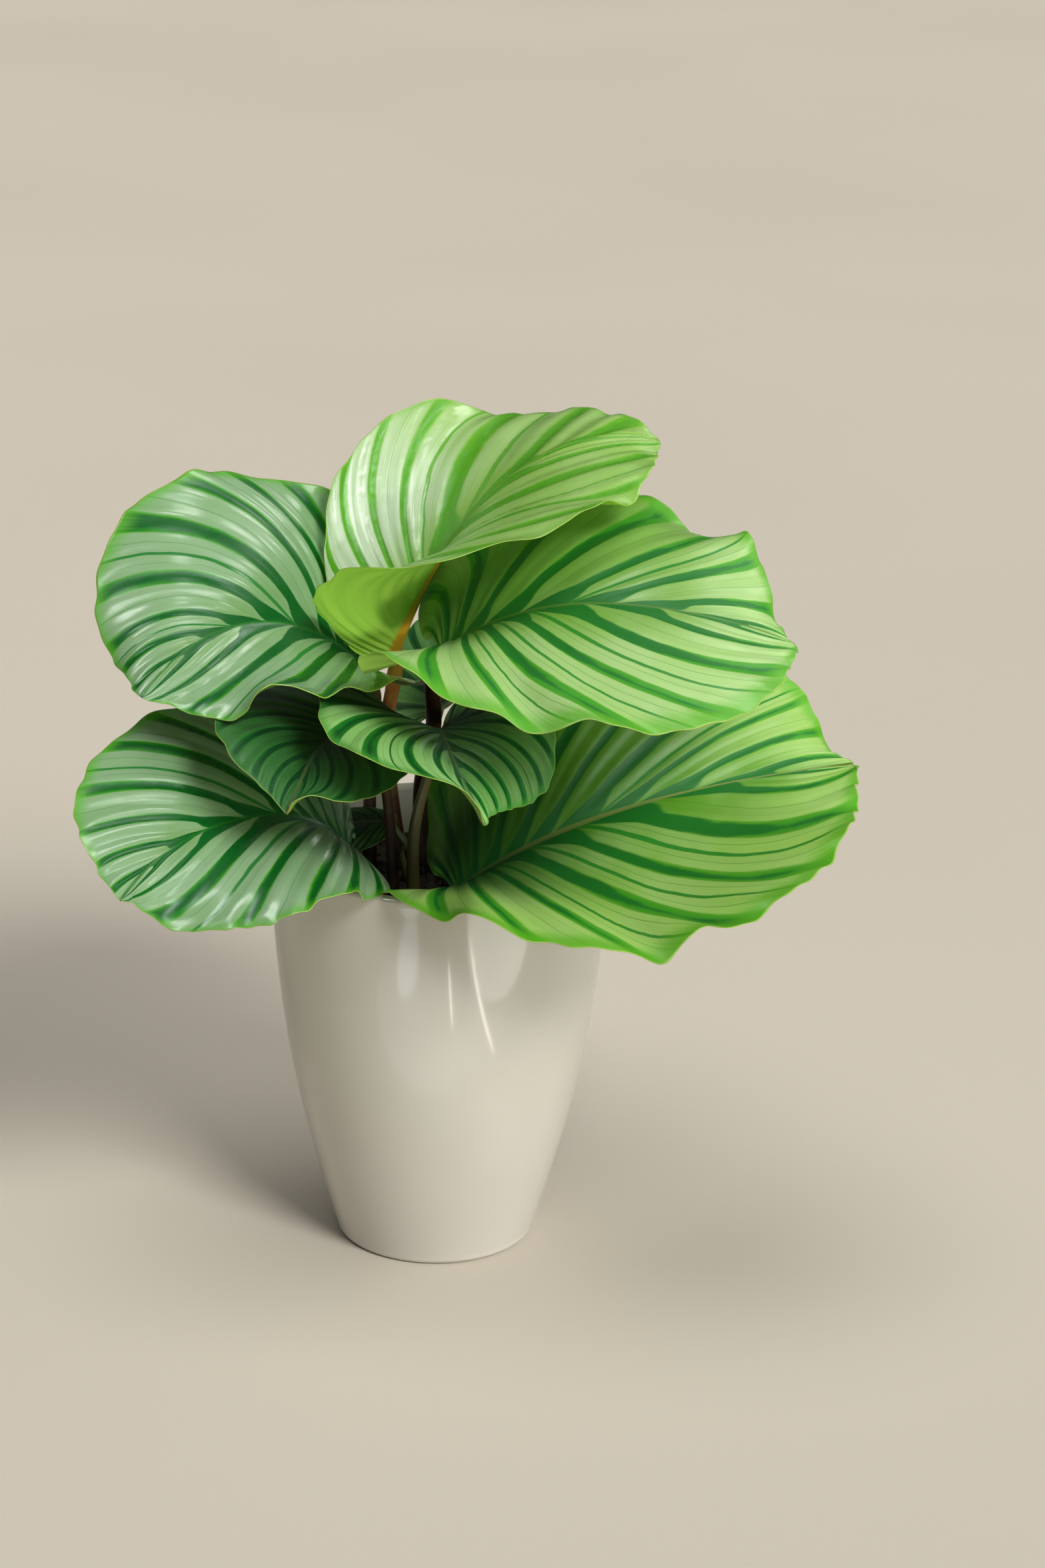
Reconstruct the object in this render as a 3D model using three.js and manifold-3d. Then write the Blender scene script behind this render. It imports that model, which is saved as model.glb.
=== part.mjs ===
// A round-leaved prayer plant growing in a tapered glazed pot.
//
// Millimetres, +Z up. The origin is under the middle of the pot, on the surface it stands on.
// -Y is the side that the plant turns its leaves to, and +X is to the right seen from there.

import * as THREE from "three";
import { mergeVertices } from "three/addons/utils/BufferGeometryUtils.js";
import Module from "manifold-3d";

// Driving dimensions

const POT_HEIGHT = 170;
const RIM_RADIUS = 69;
const FOOT_RADIUS = 40;
const POT_BELLY = 6.5; // how far the wall stands out from a straight taper
const POT_WALL = 4.5;
const POT_FLOOR = 8;
const POT_FOOT_ROUND = 3;
const POT_CORNER = 2; // how much the floor inside is drawn in at the wall
const POT_SIDES = 56;

const SOIL_TOP = 150;
const SOIL_MOUND = 3; // how much higher the soil lies in the middle
const SOIL_SIDES = 40;
const STEM_SINK = 14; // how deep each stem stands in the soil
const HOLE_SIDES = 12;
const HOLE_SLACK = 1.5; // clearances between a stem's foot and its hole in the soil
const HOLE_ABOVE = 20; // how far a hole is cut past the soil's edge

const CLEARANCE = 0.3; // between neighbours that touch
const BLADE_THICKNESS = 0.8;
const FOLD_HEIGHT = 0.15; // of the upper face above the blade's middle, along the midrib
const RIB_DEPTH = 0.011; // of the midrib below the blade at its base, as a share of its length
const RIB_SHARE = 0.08; // and is gone at this share of a vein's length

// The flat outline shared by all blades, as shares of the midrib's length
const TIP_POINT = 0.045; // the drawn-out point
const WIDEST = 0.44; // the place of the greatest width
const NOTCH = 0.32; // the opening between the two basal lobes, in radians round the margin
const LAST_VEIN = 0.93; // where the last side vein leaves the midrib
const VEIN_BOW = 15; // how much a side vein curves forward, in degrees
const BASAL_SWEEP = 260; // how much the first side veins bend back into a lobe, in degrees
const VEIN_CROWDING = 1.7; // above 1, the side veins crowd together at the base
const MARGIN_PACE = 1.35; // how fast the veins' ends run round the margin
const TIP_ANGLE = 0.16; // how narrow the drawn-out point is, in radians round the margin
const BOW_SPREAD = 0.8; // below 1, more of the veins bend by nearly the whole bow
const SWEEP_FADE = 0.3; // the share of the veins over which the bend into a lobe dies out
const VEIN_REACH = 0.52; // where along its chord a side vein bends most
const HELD_BEHIND = -0.25; // behind this share of the midrib a lobe bends no further

// Every leaf: where its blade starts, the length of its midrib, and at the base, the middle and
// the tip its heading (0 to the right, 90 to the back), its rise and its roll, in degrees.
// Each half: its width, how far its lobe reaches behind the base, and at the same three places
// how steeply it leaves the midrib (lift) and how much it bends up on its way to the margin
// (curl). Ruffle is how far the margin stands up, in millimetres at even steps from base to tip.
// Stem: where it stands in the soil, the points it passes, and its radius at foot and top.
const LEAVES = [
  {
    name: "top",
    base: [-21, 17, 238],
    length: 159,
    heading: [-29, 3, 26],
    rise: [69, 47, -24],
    roll: [38, 6, 15],
    left: {
      width: 65, lobe: -0.06, lift: [84, 0, 12], curl: [145, 62, -73],
      ruffle: [1, 3.5, 6, 7, 6, 8, 8.5, -7, -1, 1, 2, 2, 1.5, 1.5, -0.5],
    },
    right: {
      width: 70, lobe: -0.03, lift: [58, 0, 8], curl: [118, 15, 1],
      ruffle: [-1.5, 4.5, -0.5, 1.5, -4.5, -0.5, 0.5, 3, -3, 1.5, 0, -1, -1.5],
    },
    stem: { foot: [-17, 15], past: [[-20, 17, 205]], radius: [3.6, 2.5] },
    rows: 30, columns: 5, colour: 0x9cc95e, stemColour: 0x9a5a2c,
  },
  {
    name: "upper_left",
    base: [-28, 14, 233],
    length: 129,
    heading: [205, 224, 230],
    rise: [51, 8, -40],
    roll: [-23, -52, -16],
    left: {
      width: 61, lobe: 0.1, lift: [36, 6, -8], curl: [8, 68, 45],
      ruffle: [0.5, 2, 0.5, 0.5, -4.5, 0.5, -1, 6.5, 6, -4.5, -8, -7.5, -2.5],
    },
    right: {
      width: 64, lobe: 0.11, lift: [24, 31, -19], curl: [-19, -51, 4],
      ruffle: [0, 2, 5, -3, 5, 5, 0.5, -2.5, -0.5],
    },
    stem: { foot: [-29, 15], past: [[-29, 16, 200]], radius: [3.2, 2.2] },
    rows: 28, columns: 5, colour: 0x8fc79a, stemColour: 0x5a4a2a,
  },
  {
    name: "upper_right",
    base: [-2, -22, 254],
    length: 158,
    heading: [-20, -25, 34],
    rise: [40, 8, -29],
    roll: [17, 34, 27],
    left: {
      width: 70, lobe: 0.1, lift: [18, 16, 14], curl: [-6, -59, -48],
      ruffle: [0, -0.5, 3, 2.5, -6.5, -6, 7, 4, -3],
    },
    right: {
      width: 75, lobe: 0.18, lift: [33, 10, 8], curl: [2, 8, -21],
      ruffle: [0.5, -1.5, 1.5, 3.5, 2.5, -2.5, -1.5, -4, 5, -0.5, 2, -1.5, 0, 0.5, 2.5, 0.5, 0],
    },
    stem: { foot: [-7, 12], past: [[-8, 12, 188], [-4, -6, 212], [-3, -14, 226]], radius: [4.2, 3] },
    rows: 30, columns: 5, colour: 0x9ed06a, stemColour: 0x3a2416,
  },
  {
    name: "lower_left",
    base: [-34, -32, 177],
    length: 122,
    heading: [213, 217, 252],
    rise: [52, -4, -17],
    roll: [-24, -33, -33],
    left: {
      width: 57, lobe: 0.15, lift: [23, 10, -14], curl: [-38, 10, -5],
      ruffle: [0.5, 0.5, -3, 0.5, -1, -0.5, 1, 1.5, 1.5, -1, -4.5, -2.5, 1],
    },
    right: {
      width: 56, lobe: 0.14, lift: [11, 14, 0], curl: [-21, -23, -28],
      ruffle: [0, 0.5, 0.5, 0, -1, 1, 0, 0, 0],
    },
    stem: { foot: [-26, -24], past: [], radius: [3, 2.1] },
    rows: 28, columns: 5, colour: 0x8fc79a, stemColour: 0x5d5a30,
  },
  {
    name: "lower_right",
    base: [6, -44, 163],
    length: 171,
    heading: [5, 6, 29],
    rise: [39, 16, -2],
    roll: [6, 43, 21],
    left: {
      width: 80, lobe: 0.08, lift: [16, 23, 20], curl: [-16, -12, 4],
      ruffle: [0, 0.5, -0.5, 0, 0, 0, 0, 2.5, -4],
    },
    right: {
      width: 81, lobe: 0.15, lift: [47, 7, 25], curl: [-57, 29, 5],
      ruffle: [0.5, 2, -5.5, 1.5, -3, 2.5, -4, 2, -3, 3, -0.5, -1, 0.5, 0.5, 0, 0, 0],
    },
    stem: { foot: [1, -43], past: [], radius: [3.2, 2.4] },
    rows: 32, columns: 5, colour: 0x6fb53c, stemColour: 0x6f6b3a,
  },
  {
    name: "middle_left",
    base: [-30, -24, 226],
    length: 82,
    heading: [223, 259, 250],
    rise: [-4, -3, -29],
    roll: [2, -7, -7],
    left: {
      width: 37, lobe: 0.14, lift: [11, 9, 17], curl: [-28, -20, -25],
      ruffle: [0, 0, 0.5, 0, -2, 0.5, 5],
    },
    right: {
      width: 41, lobe: 0.18, lift: [33, 27, 20], curl: [-31, -15, -6],
      ruffle: [0, -0.5, -2, -5, -2, 0.5, 1],
    },
    stem: { foot: [-18, -17], past: [[-21, -19, 195]], radius: [2.8, 1.8] },
    rows: 18, columns: 4, colour: 0x2f7a4a, stemColour: 0x4a3a22,
  },
  {
    name: "middle_right",
    base: [-3, -24, 220],
    length: 102,
    heading: [280, 279, 312],
    rise: [35, 1, -49],
    roll: [1, -6, -25],
    left: {
      width: 46, lobe: 0.19, lift: [45, 0, -5], curl: [-21, -33, -32],
      ruffle: [1, -1.5, 0, 0, -0.5, -1, 1, 0.5, -0.5],
    },
    right: {
      width: 48, lobe: 0.25, lift: [36, 12, 29], curl: [13, -16, -29],
      ruffle: [-0.5, 1, 0.5, 1.5, 2, -2.5, -1.5, -1.5, 3, 4, 0.5],
    },
    stem: { foot: [-10, -24], past: [[-12, -26, 180]], radius: [4, 2.1] },
    rows: 20, columns: 4, colour: 0x3f8f55, stemColour: 0x6b6a35,
  },
  {
    name: "centre",
    base: [-19, -3, 177],
    length: 34,
    heading: [174, 180, 188],
    rise: [6, -12, -26],
    roll: [-4, -12, -16],
    left: {
      width: 16, lobe: 0.08, lift: [-4, 0, 0], curl: [-39, -28, -20],
      ruffle: [0.5, -1, -1],
    },
    right: {
      width: 14, lobe: 0.08, lift: [6, 4, 4], curl: [-12, -13, -10],
      ruffle: [0, -0.5, 0],
    },
    stem: { foot: [-13, -3], past: [[-15.5, -3.5, 166]], radius: [1.8, 1.2] },
    rows: 14, columns: 3, colour: 0x275f3a, stemColour: 0x5d5a30,
  },
  {
    name: "back",
    base: [-4, 34, 210],
    length: 102,
    heading: [57, 62, 61],
    rise: [40, 10, -15],
    roll: [-16, -2, 0],
    left: {
      width: 43, lobe: 0.12, lift: [-3, 7, 5], curl: [-20, -20, -14],
      ruffle: [-1, -0.5, 0, 0, 0],
    },
    right: {
      width: 46, lobe: 0.06, lift: [30, 12, 5], curl: [-10, -15, -15],
      ruffle: [0, 0, 0, 0, 0],
    },
    stem: { foot: [2, 28], past: [], radius: [3.2, 2.1] },
    rows: 24, columns: 4, colour: 0x2f6b3f, stemColour: 0x4a3a22,
  },
];

// Turns three values, at the base, the middle and the tip, into one at any share of the length.
function along([base, middle, tip], share) {
  return base * (1 - share) * (1 - 2 * share)
    + 4 * middle * share * (1 - share)
    + tip * share * (2 * share - 1);
}

// A smooth wave through evenly spaced heights, zero at both ends.
function ripple(heights, share) {
  const all = [0, ...heights, 0];
  const last = all.length - 1;
  const place = Math.min(share * last, last - 1e-9);
  const i = Math.floor(place);
  const u = place - i;
  const before = all[Math.max(i - 1, 0)];
  const from = all[i];
  const to = all[i + 1];
  const after = all[Math.min(i + 2, last)];
  return 0.5 * (2 * from + (to - before) * u
    + (2 * before - 5 * from + 4 * to - after) * u * u
    + (3 * from - before - 3 * to + after) * u * u * u);
}

// The blade pressed flat: distance along the midrib and out from it, for side vein `vein`
// (0 in the basal lobe, 1 at the tip) at share `out` of its way to the margin.
function flatPoint(length, half, vein, out) {
  const lobe = half.lobe * length;
  const centre = WIDEST * length;
  const angle = Math.PI * (1 - vein) ** MARGIN_PACE;
  const cosine = Math.cos(angle);
  let marginAlong;
  if (cosine > 0) {
    marginAlong = centre + (length * (1 - TIP_POINT) - centre) * cosine
      + length * TIP_POINT * Math.exp(-((angle / TIP_ANGLE) ** 2));
  } else {
    marginAlong = centre + (centre + lobe) * cosine
      + lobe * Math.exp(-(((Math.PI - angle) / NOTCH) ** 2));
  }
  const marginOut = half.width * Math.sin(angle);
  const start = LAST_VEIN * length * vein ** VEIN_CROWDING;
  const reach = Math.hypot(marginOut, marginAlong - start);
  const forward = VEIN_BOW * Math.max(0, Math.sin(Math.PI * vein)) ** BOW_SPREAD;
  const backward = BASAL_SWEEP * Math.max(0, half.lobe) * Math.exp(-vein / SWEEP_FADE);
  const bow = THREE.MathUtils.degToRad(forward - backward);
  const bearing = Math.atan2(marginOut, marginAlong - start) + bow;
  const bendAlong = start + VEIN_REACH * reach * Math.cos(bearing);
  const bendOut = VEIN_REACH * reach * Math.sin(bearing);
  const rest = 1 - out;
  return [
    rest * rest * start + 2 * out * rest * bendAlong + out * out * marginAlong,
    2 * out * rest * bendOut + out * out * marginOut,
  ];
}

// The midrib's line and the frame that it carries, also a little way behind the base.
const SPINE_START = -0.3;
const SPINE_STEPS = 130;

function spineOf(leaf) {
  const step = (1 - SPINE_START) / SPINE_STEPS;
  const frames = [];
  for (let i = 0; i <= SPINE_STEPS; i += 1) {
    const share = SPINE_START + i * step;
    const heading = THREE.MathUtils.degToRad(along(leaf.heading, share));
    const rise = THREE.MathUtils.degToRad(along(leaf.rise, share));
    const roll = THREE.MathUtils.degToRad(along(leaf.roll, share));
    const ahead = new THREE.Vector3(
      Math.cos(rise) * Math.cos(heading), Math.cos(rise) * Math.sin(heading), Math.sin(rise));
    const level = new THREE.Vector3(-Math.sin(heading), Math.cos(heading), 0);
    const side = level.clone().applyAxisAngle(ahead, roll);
    const up = new THREE.Vector3().crossVectors(ahead, side);
    frames.push({ share, ahead, side, up, point: new THREE.Vector3() });
  }
  for (let i = 1; i < frames.length; i += 1) {
    const middle = frames[i].ahead.clone().add(frames[i - 1].ahead).multiplyScalar(0.5);
    frames[i].point.copy(frames[i - 1].point).addScaledVector(middle, step * leaf.length);
  }
  const origin = frames[Math.round(-SPINE_START / step)].point.clone();
  const shift = new THREE.Vector3(...leaf.base).sub(origin);
  frames.forEach((frame) => frame.point.add(shift));
  return frames;
}

function spineAt(frames, share) {
  const step = (1 - SPINE_START) / SPINE_STEPS;
  const place = THREE.MathUtils.clamp((share - SPINE_START) / step, 0, SPINE_STEPS - 1e-6);
  const i = Math.floor(place);
  const u = place - i;
  const blend = (key) => frames[i][key].clone().lerp(frames[i + 1][key], u);
  return { point: blend("point"), ahead: blend("ahead"), side: blend("side"), up: blend("up") };
}

// The blade in space: each half bends up or down as it leaves the midrib, then its margin waves.
const FLAT_ENOUGH = 1e-3; // the least bend, in radians
const RUFFLE_POWER = 3; // the waves stay close to the margin

function bladePoint(leaf, frames, sideName, vein, out) {
  const half = leaf[sideName];
  const [far, wide] = flatPoint(leaf.length, half, vein, out);
  const share = far / leaf.length;
  const held = THREE.MathUtils.clamp(share, HELD_BEHIND, 1);
  const lift = THREE.MathUtils.degToRad(along(half.lift, held));
  let curl = THREE.MathUtils.degToRad(along(half.curl, held));
  if (Math.abs(curl) < FLAT_ENOUGH) curl = FLAT_ENOUGH;
  const slope = lift + curl * wide / half.width;
  const wave = ripple(half.ruffle, vein) * out ** RUFFLE_POWER;
  const sideways = half.width / curl * (Math.sin(slope) - Math.sin(lift)) - Math.sin(slope) * wave;
  const upward = half.width / curl * (Math.cos(lift) - Math.cos(slope)) + Math.cos(slope) * wave;
  const hand = sideName === "left" ? 1 : -1;
  const frame = spineAt(frames, share);
  return frame.point.addScaledVector(frame.side, hand * sideways).addScaledVector(frame.up, upward);
}

// One closed thin blade. Both faces share one grid, so that they never cross.
const FIRST_VEIN = 0.05;
const LAST_ROW = 0.94; // between it and the tip the blade is one fan
const RIB_FADE = 0.75; // how much of the midrib's depth is gone at the tip

function bladeGeometry(leaf) {
  const frames = spineOf(leaf);
  const rows = leaf.rows;
  const outs = [0, RIB_SHARE];
  for (let j = 2; j <= leaf.columns; j += 1) {
    outs.push(RIB_SHARE + (1 - RIB_SHARE) * (j - 1) / (leaf.columns - 1));
  }
  const columns = outs.length - 1;
  const veinOf = (i) => (i < rows ? FIRST_VEIN + (LAST_ROW - FIRST_VEIN) * i / (rows - 1) : 1);

  const middle = [];
  const ribbed = [];
  const heights = [];
  const grid = { left: [], right: [] };
  const place = (sideName, i, j) => {
    middle.push(bladePoint(leaf, frames, sideName, veinOf(i), outs[j]));
    ribbed.push(j === 0 ? 1 - RIB_FADE * veinOf(i) ** VEIN_CROWDING : 0);
    heights.push(j <= 1 ? FOLD_HEIGHT : BLADE_THICKNESS / 2);
    return middle.length - 1;
  };
  for (let i = 0; i < rows; i += 1) {
    const rib = place("left", i, 0);
    for (const sideName of ["left", "right"]) {
      grid[sideName].push(outs.map((_, j) => (j === 0 ? rib : place(sideName, i, j))));
    }
  }
  const tip = place("left", rows, columns);
  grid.left.push(outs.map(() => tip));
  grid.right.push(outs.map(() => tip));

  const faces = [];
  for (const sideName of ["left", "right"]) {
    for (let i = 0; i < rows; i += 1) {
      for (let j = 0; j < columns; j += 1) {
        const [a, b] = [grid[sideName][i][j], grid[sideName][i + 1][j]];
        const [c, d] = [grid[sideName][i + 1][j + 1], grid[sideName][i][j + 1]];
        const pair = sideName === "left" ? [[a, b, c], [a, c, d]] : [[a, c, b], [a, d, c]];
        faces.push(...pair.filter((corners) => new Set(corners).size === 3));
      }
    }
  }

  const normals = middle.map(() => new THREE.Vector3());
  for (const [a, b, c] of faces) {
    const normal = middle[b].clone().sub(middle[a]).cross(middle[c].clone().sub(middle[a]));
    [a, b, c].forEach((index) => normals[index].add(normal));
  }
  normals.forEach((normal) => normal.normalize());

  const count = middle.length;
  const positions = [];
  middle.forEach((point, k) => {
    positions.push(...point.clone().addScaledVector(normals[k], heights[k]));
  });
  middle.forEach((point, k) => {
    const depth = BLADE_THICKNESS - heights[k] + RIB_DEPTH * leaf.length * ribbed[k];
    positions.push(...point.clone().addScaledVector(normals[k], -depth));
  });

  const rim = [grid.left[0][0]];
  for (let j = 1; j <= columns; j += 1) rim.push(grid.right[0][j]);
  for (let i = 1; i <= rows; i += 1) rim.push(grid.right[i][columns]);
  for (let i = rows - 1; i >= 0; i -= 1) rim.push(grid.left[i][columns]);
  for (let j = columns - 1; j >= 1; j -= 1) rim.push(grid.left[0][j]);

  const indices = [];
  faces.forEach(([a, b, c]) => indices.push(a, b, c, a + count, c + count, b + count));
  rim.forEach((from, k) => {
    const to = rim[(k + 1) % rim.length];
    indices.push(from, from + count, to + count, from, to + count, to);
  });
  return geometryFrom(positions, indices);
}

// A stem: round rings along a smooth line, from its foot in the soil to the blade's base.
const STEM_SIDES = 8;
const JOINT_LENGTH = 13; // the thicker joint that turns the blade
const JOINT_SWELL = 0.45;
const JOINT_BEND = 0.6; // 0 keeps the blade in line with its stem, 1 lets the stem arrive upright
const JOINT_REACH = 0.7; // the stem runs straight over this share of the joint's length
const SHORT_REACH = 0.4; // and over no more than this share of its height above the soil
const STEM_STEP = 9;
const STEM_FLARE = 1.5; // above 1, the stem thins quickly above its foot
const STRAIGHT_BELOW = 2; // the stem stands upright from here below the soil's edge
const STRAIGHT_ABOVE = 0.5; // to here above the soil's middle

function stemCurve(leaf) {
  const frame = spineAt(spineOf(leaf), 0);
  const [x, y] = leaf.stem.foot;
  const drop = (BLADE_THICKNESS + RIB_DEPTH * leaf.length) / 2 + 2 * CLEARANCE;
  const bladeStart = LAST_VEIN * leaf.length * FIRST_VEIN ** VEIN_CROWDING;
  const end = new THREE.Vector3(...leaf.base)
    .addScaledVector(frame.up, -drop)
    .addScaledVector(frame.ahead, bladeStart - 2 * CLEARANCE);
  const arrive = frame.ahead.clone().lerp(new THREE.Vector3(0, 0, 1), JOINT_BEND).normalize();
  const reach = Math.min(JOINT_REACH * JOINT_LENGTH, SHORT_REACH * (end.z - SOIL_TOP));
  return new THREE.CatmullRomCurve3([
    new THREE.Vector3(x, y, SOIL_TOP - STEM_SINK + CLEARANCE),
    new THREE.Vector3(x, y, SOIL_TOP - STRAIGHT_BELOW),
    new THREE.Vector3(x, y, SOIL_TOP + SOIL_MOUND + STRAIGHT_ABOVE),
    ...leaf.stem.past.map((point) => new THREE.Vector3(...point)),
    end.clone().addScaledVector(arrive, -reach),
    end,
  ], false, "centripetal");
}

function stemGeometry(leaf) {
  const curve = stemCurve(leaf);
  const length = curve.getLength();
  const steps = Math.max(STEM_SIDES, Math.round(length / STEM_STEP));
  const frames = curve.computeFrenetFrames(steps, false);
  const [footRadius, topRadius] = leaf.stem.radius;
  const positions = [];
  for (let i = 0; i <= steps; i += 1) {
    const share = i / steps;
    const left = (1 - share) * length;
    const swell = JOINT_SWELL * Math.sin(Math.PI * Math.min(1, left / JOINT_LENGTH)) ** 2;
    const radius = topRadius + (footRadius - topRadius) * (1 - share) ** STEM_FLARE + swell;
    const point = curve.getPointAt(share);
    for (let k = 0; k < STEM_SIDES; k += 1) {
      const turn = 2 * Math.PI * k / STEM_SIDES;
      const rim = point.clone()
        .addScaledVector(frames.normals[i], radius * Math.cos(turn))
        .addScaledVector(frames.binormals[i], radius * Math.sin(turn));
      positions.push(...rim);
    }
  }
  const indices = [];
  for (let i = 0; i < steps; i += 1) {
    for (let k = 0; k < STEM_SIDES; k += 1) {
      const a = i * STEM_SIDES + k;
      const b = i * STEM_SIDES + (k + 1) % STEM_SIDES;
      indices.push(a, b, b + STEM_SIDES, a, b + STEM_SIDES, a + STEM_SIDES);
    }
  }
  const top = steps * STEM_SIDES;
  for (let k = 1; k < STEM_SIDES - 1; k += 1) {
    indices.push(0, k + 1, k, top, top + k, top + k + 1);
  }
  return geometryFrom(positions, indices);
}

// The pot: one wall turned about Z, with a flat foot and a rounded rim.
const BELLY_LOW = 0.95; // below 1, the wall stands out most a little under its middle
const WALL_SHARES = [0.06, 0.2, 0.36, 0.52, 0.68, 0.84]; // the heights that shape the wall

function potRadius(height) {
  const share = height / POT_HEIGHT;
  const straight = FOOT_RADIUS + (RIM_RADIUS - FOOT_RADIUS) * share;
  return straight + POT_BELLY * Math.sin(Math.PI * share ** BELLY_LOW);
}

function potGeometry() {
  const rimRound = POT_WALL / 2;
  const outerHeights = WALL_SHARES.map((share) => share * POT_HEIGHT);
  const profile = [new THREE.Vector2(0, 0)];
  for (const turn of [0, 30, 60, 90]) {
    const angle = THREE.MathUtils.degToRad(turn);
    const inset = potRadius(POT_FOOT_ROUND) - POT_FOOT_ROUND;
    profile.push(new THREE.Vector2(
      inset + POT_FOOT_ROUND * Math.sin(angle), POT_FOOT_ROUND * (1 - Math.cos(angle))));
  }
  outerHeights.forEach((height) => profile.push(new THREE.Vector2(potRadius(height), height)));
  const rimMiddle = RIM_RADIUS - rimRound;
  for (const turn of [0, 45, 90, 135, 180]) {
    const angle = THREE.MathUtils.degToRad(turn);
    profile.push(new THREE.Vector2(
      rimMiddle + rimRound * Math.cos(angle), POT_HEIGHT - rimRound + rimRound * Math.sin(angle)));
  }
  outerHeights.slice(1).reverse().forEach((height) => {
    profile.push(new THREE.Vector2(potRadius(height) - POT_WALL, height));
  });
  profile.push(new THREE.Vector2(potRadius(POT_FLOOR) - POT_WALL - POT_CORNER, POT_FLOOR));
  profile.push(new THREE.Vector2(0, POT_FLOOR));
  return turned(profile, POT_SIDES);
}

// The soil: fills the pot to a low mound, with a plain hole for each stem.
function soilHeight(radius) {
  return SOIL_TOP + SOIL_MOUND * Math.cos(Math.PI / 2 * Math.min(1, radius / RIM_RADIUS));
}

function soilGeometry(solids) {
  const profile = [new THREE.Vector2(0, POT_FLOOR + CLEARANCE)];
  const bottom = potRadius(POT_FLOOR) - POT_WALL - POT_CORNER - 2 * CLEARANCE;
  profile.push(new THREE.Vector2(bottom, POT_FLOOR + CLEARANCE));
  for (const share of WALL_SHARES.slice(1, 5)) {
    const height = share * POT_HEIGHT;
    profile.push(new THREE.Vector2(potRadius(height) - POT_WALL - 2 * CLEARANCE, height));
  }
  const edge = potRadius(SOIL_TOP) - POT_WALL - 3 * CLEARANCE;
  profile.push(new THREE.Vector2(edge, SOIL_TOP));
  for (const share of [0.75, 0.5, 0.25]) {
    profile.push(new THREE.Vector2(share * edge, soilHeight(share * edge)));
  }
  profile.push(new THREE.Vector2(0, soilHeight(0)));
  let soil = solids.from(turned(profile, SOIL_SIDES));
  for (const leaf of LEAVES) {
    const radius = (leaf.stem.radius[0] + HOLE_SLACK * CLEARANCE) / Math.cos(Math.PI / HOLE_SIDES);
    const height = STEM_SINK + HOLE_ABOVE;
    const hole = new THREE.CylinderGeometry(radius, radius, height, HOLE_SIDES);
    hole.rotateX(Math.PI / 2);
    hole.translate(...leaf.stem.foot, SOIL_TOP - STEM_SINK + height / 2);
    soil = soil.subtract(solids.from(hole));
  }
  return solids.toGeometry(soil);
}

// Helpers for closed geometry

function geometryFrom(positions, indices) {
  const geometry = new THREE.BufferGeometry();
  geometry.setAttribute("position", new THREE.Float32BufferAttribute(positions, 3));
  geometry.setIndex(indices);
  geometry.computeVertexNormals();
  return geometry;
}

function turned(profile, sides) {
  const lathe = new THREE.LatheGeometry(profile, sides);
  lathe.rotateX(Math.PI / 2);
  return merged(lathe);
}

function merged(geometry) {
  const bare = geometry.clone();
  bare.deleteAttribute("normal");
  bare.deleteAttribute("uv");
  const joined = mergeVertices(bare, 1e-4);
  const corners = joined.getIndex().array;
  const kept = [];
  for (let i = 0; i < corners.length; i += 3) {
    const [a, b, c] = [corners[i], corners[i + 1], corners[i + 2]];
    if (a !== b && b !== c && c !== a) kept.push(a, b, c);
  }
  joined.setIndex(kept);
  return joined;
}

async function solidMaker() {
  const wasm = await Module();
  wasm.setup();
  return {
    from(geometry) {
      const bare = merged(geometry);
      return new wasm.Manifold(new wasm.Mesh({
        numProp: 3,
        vertProperties: new Float32Array(bare.getAttribute("position").array),
        triVerts: new Uint32Array(bare.getIndex().array),
      }));
    },
    toGeometry(solid) {
      const mesh = solid.getMesh();
      return geometryFrom(Array.from(mesh.vertProperties), Array.from(mesh.triVerts));
    },
  };
}

function named(name, geometry, colour, roughness) {
  const material = new THREE.MeshStandardMaterial({ color: colour, roughness, metalness: 0 });
  const mesh = new THREE.Mesh(geometry, material);
  mesh.name = name;
  return mesh;
}

const solids = await solidMaker();
const plant = new THREE.Group();
plant.add(named("pot", potGeometry(), 0xd6d3c8, 0.2));
plant.add(named("soil", soilGeometry(solids), 0x2b1f16, 0.95));
for (const leaf of LEAVES) {
  plant.add(named(`blade_${leaf.name}`, bladeGeometry(leaf), leaf.colour, 0.35));
  plant.add(named(`petiole_${leaf.name}`, stemGeometry(leaf), leaf.stemColour, 0.5));
}

export default plant;
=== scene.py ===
"""A round-leaved prayer plant growing in a tapered glazed pot: the looks of every piece."""

import math
from types import SimpleNamespace

import bmesh
import bpy
import numpy as np
from mathutils import Matrix, Vector


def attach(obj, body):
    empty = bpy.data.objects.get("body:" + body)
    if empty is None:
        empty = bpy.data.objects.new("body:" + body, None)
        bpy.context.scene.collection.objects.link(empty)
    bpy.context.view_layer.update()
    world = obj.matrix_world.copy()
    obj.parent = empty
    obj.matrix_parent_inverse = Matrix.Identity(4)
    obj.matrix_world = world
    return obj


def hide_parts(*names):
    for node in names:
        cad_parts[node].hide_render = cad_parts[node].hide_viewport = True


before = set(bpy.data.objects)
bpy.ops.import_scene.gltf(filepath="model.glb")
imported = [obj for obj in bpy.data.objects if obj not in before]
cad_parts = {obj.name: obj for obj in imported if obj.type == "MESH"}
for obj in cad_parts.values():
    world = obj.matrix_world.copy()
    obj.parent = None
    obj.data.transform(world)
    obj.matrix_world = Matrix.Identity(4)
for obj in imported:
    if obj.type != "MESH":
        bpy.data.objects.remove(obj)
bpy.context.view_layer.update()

MM = 0.001
SIDES = ("left", "right")

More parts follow.
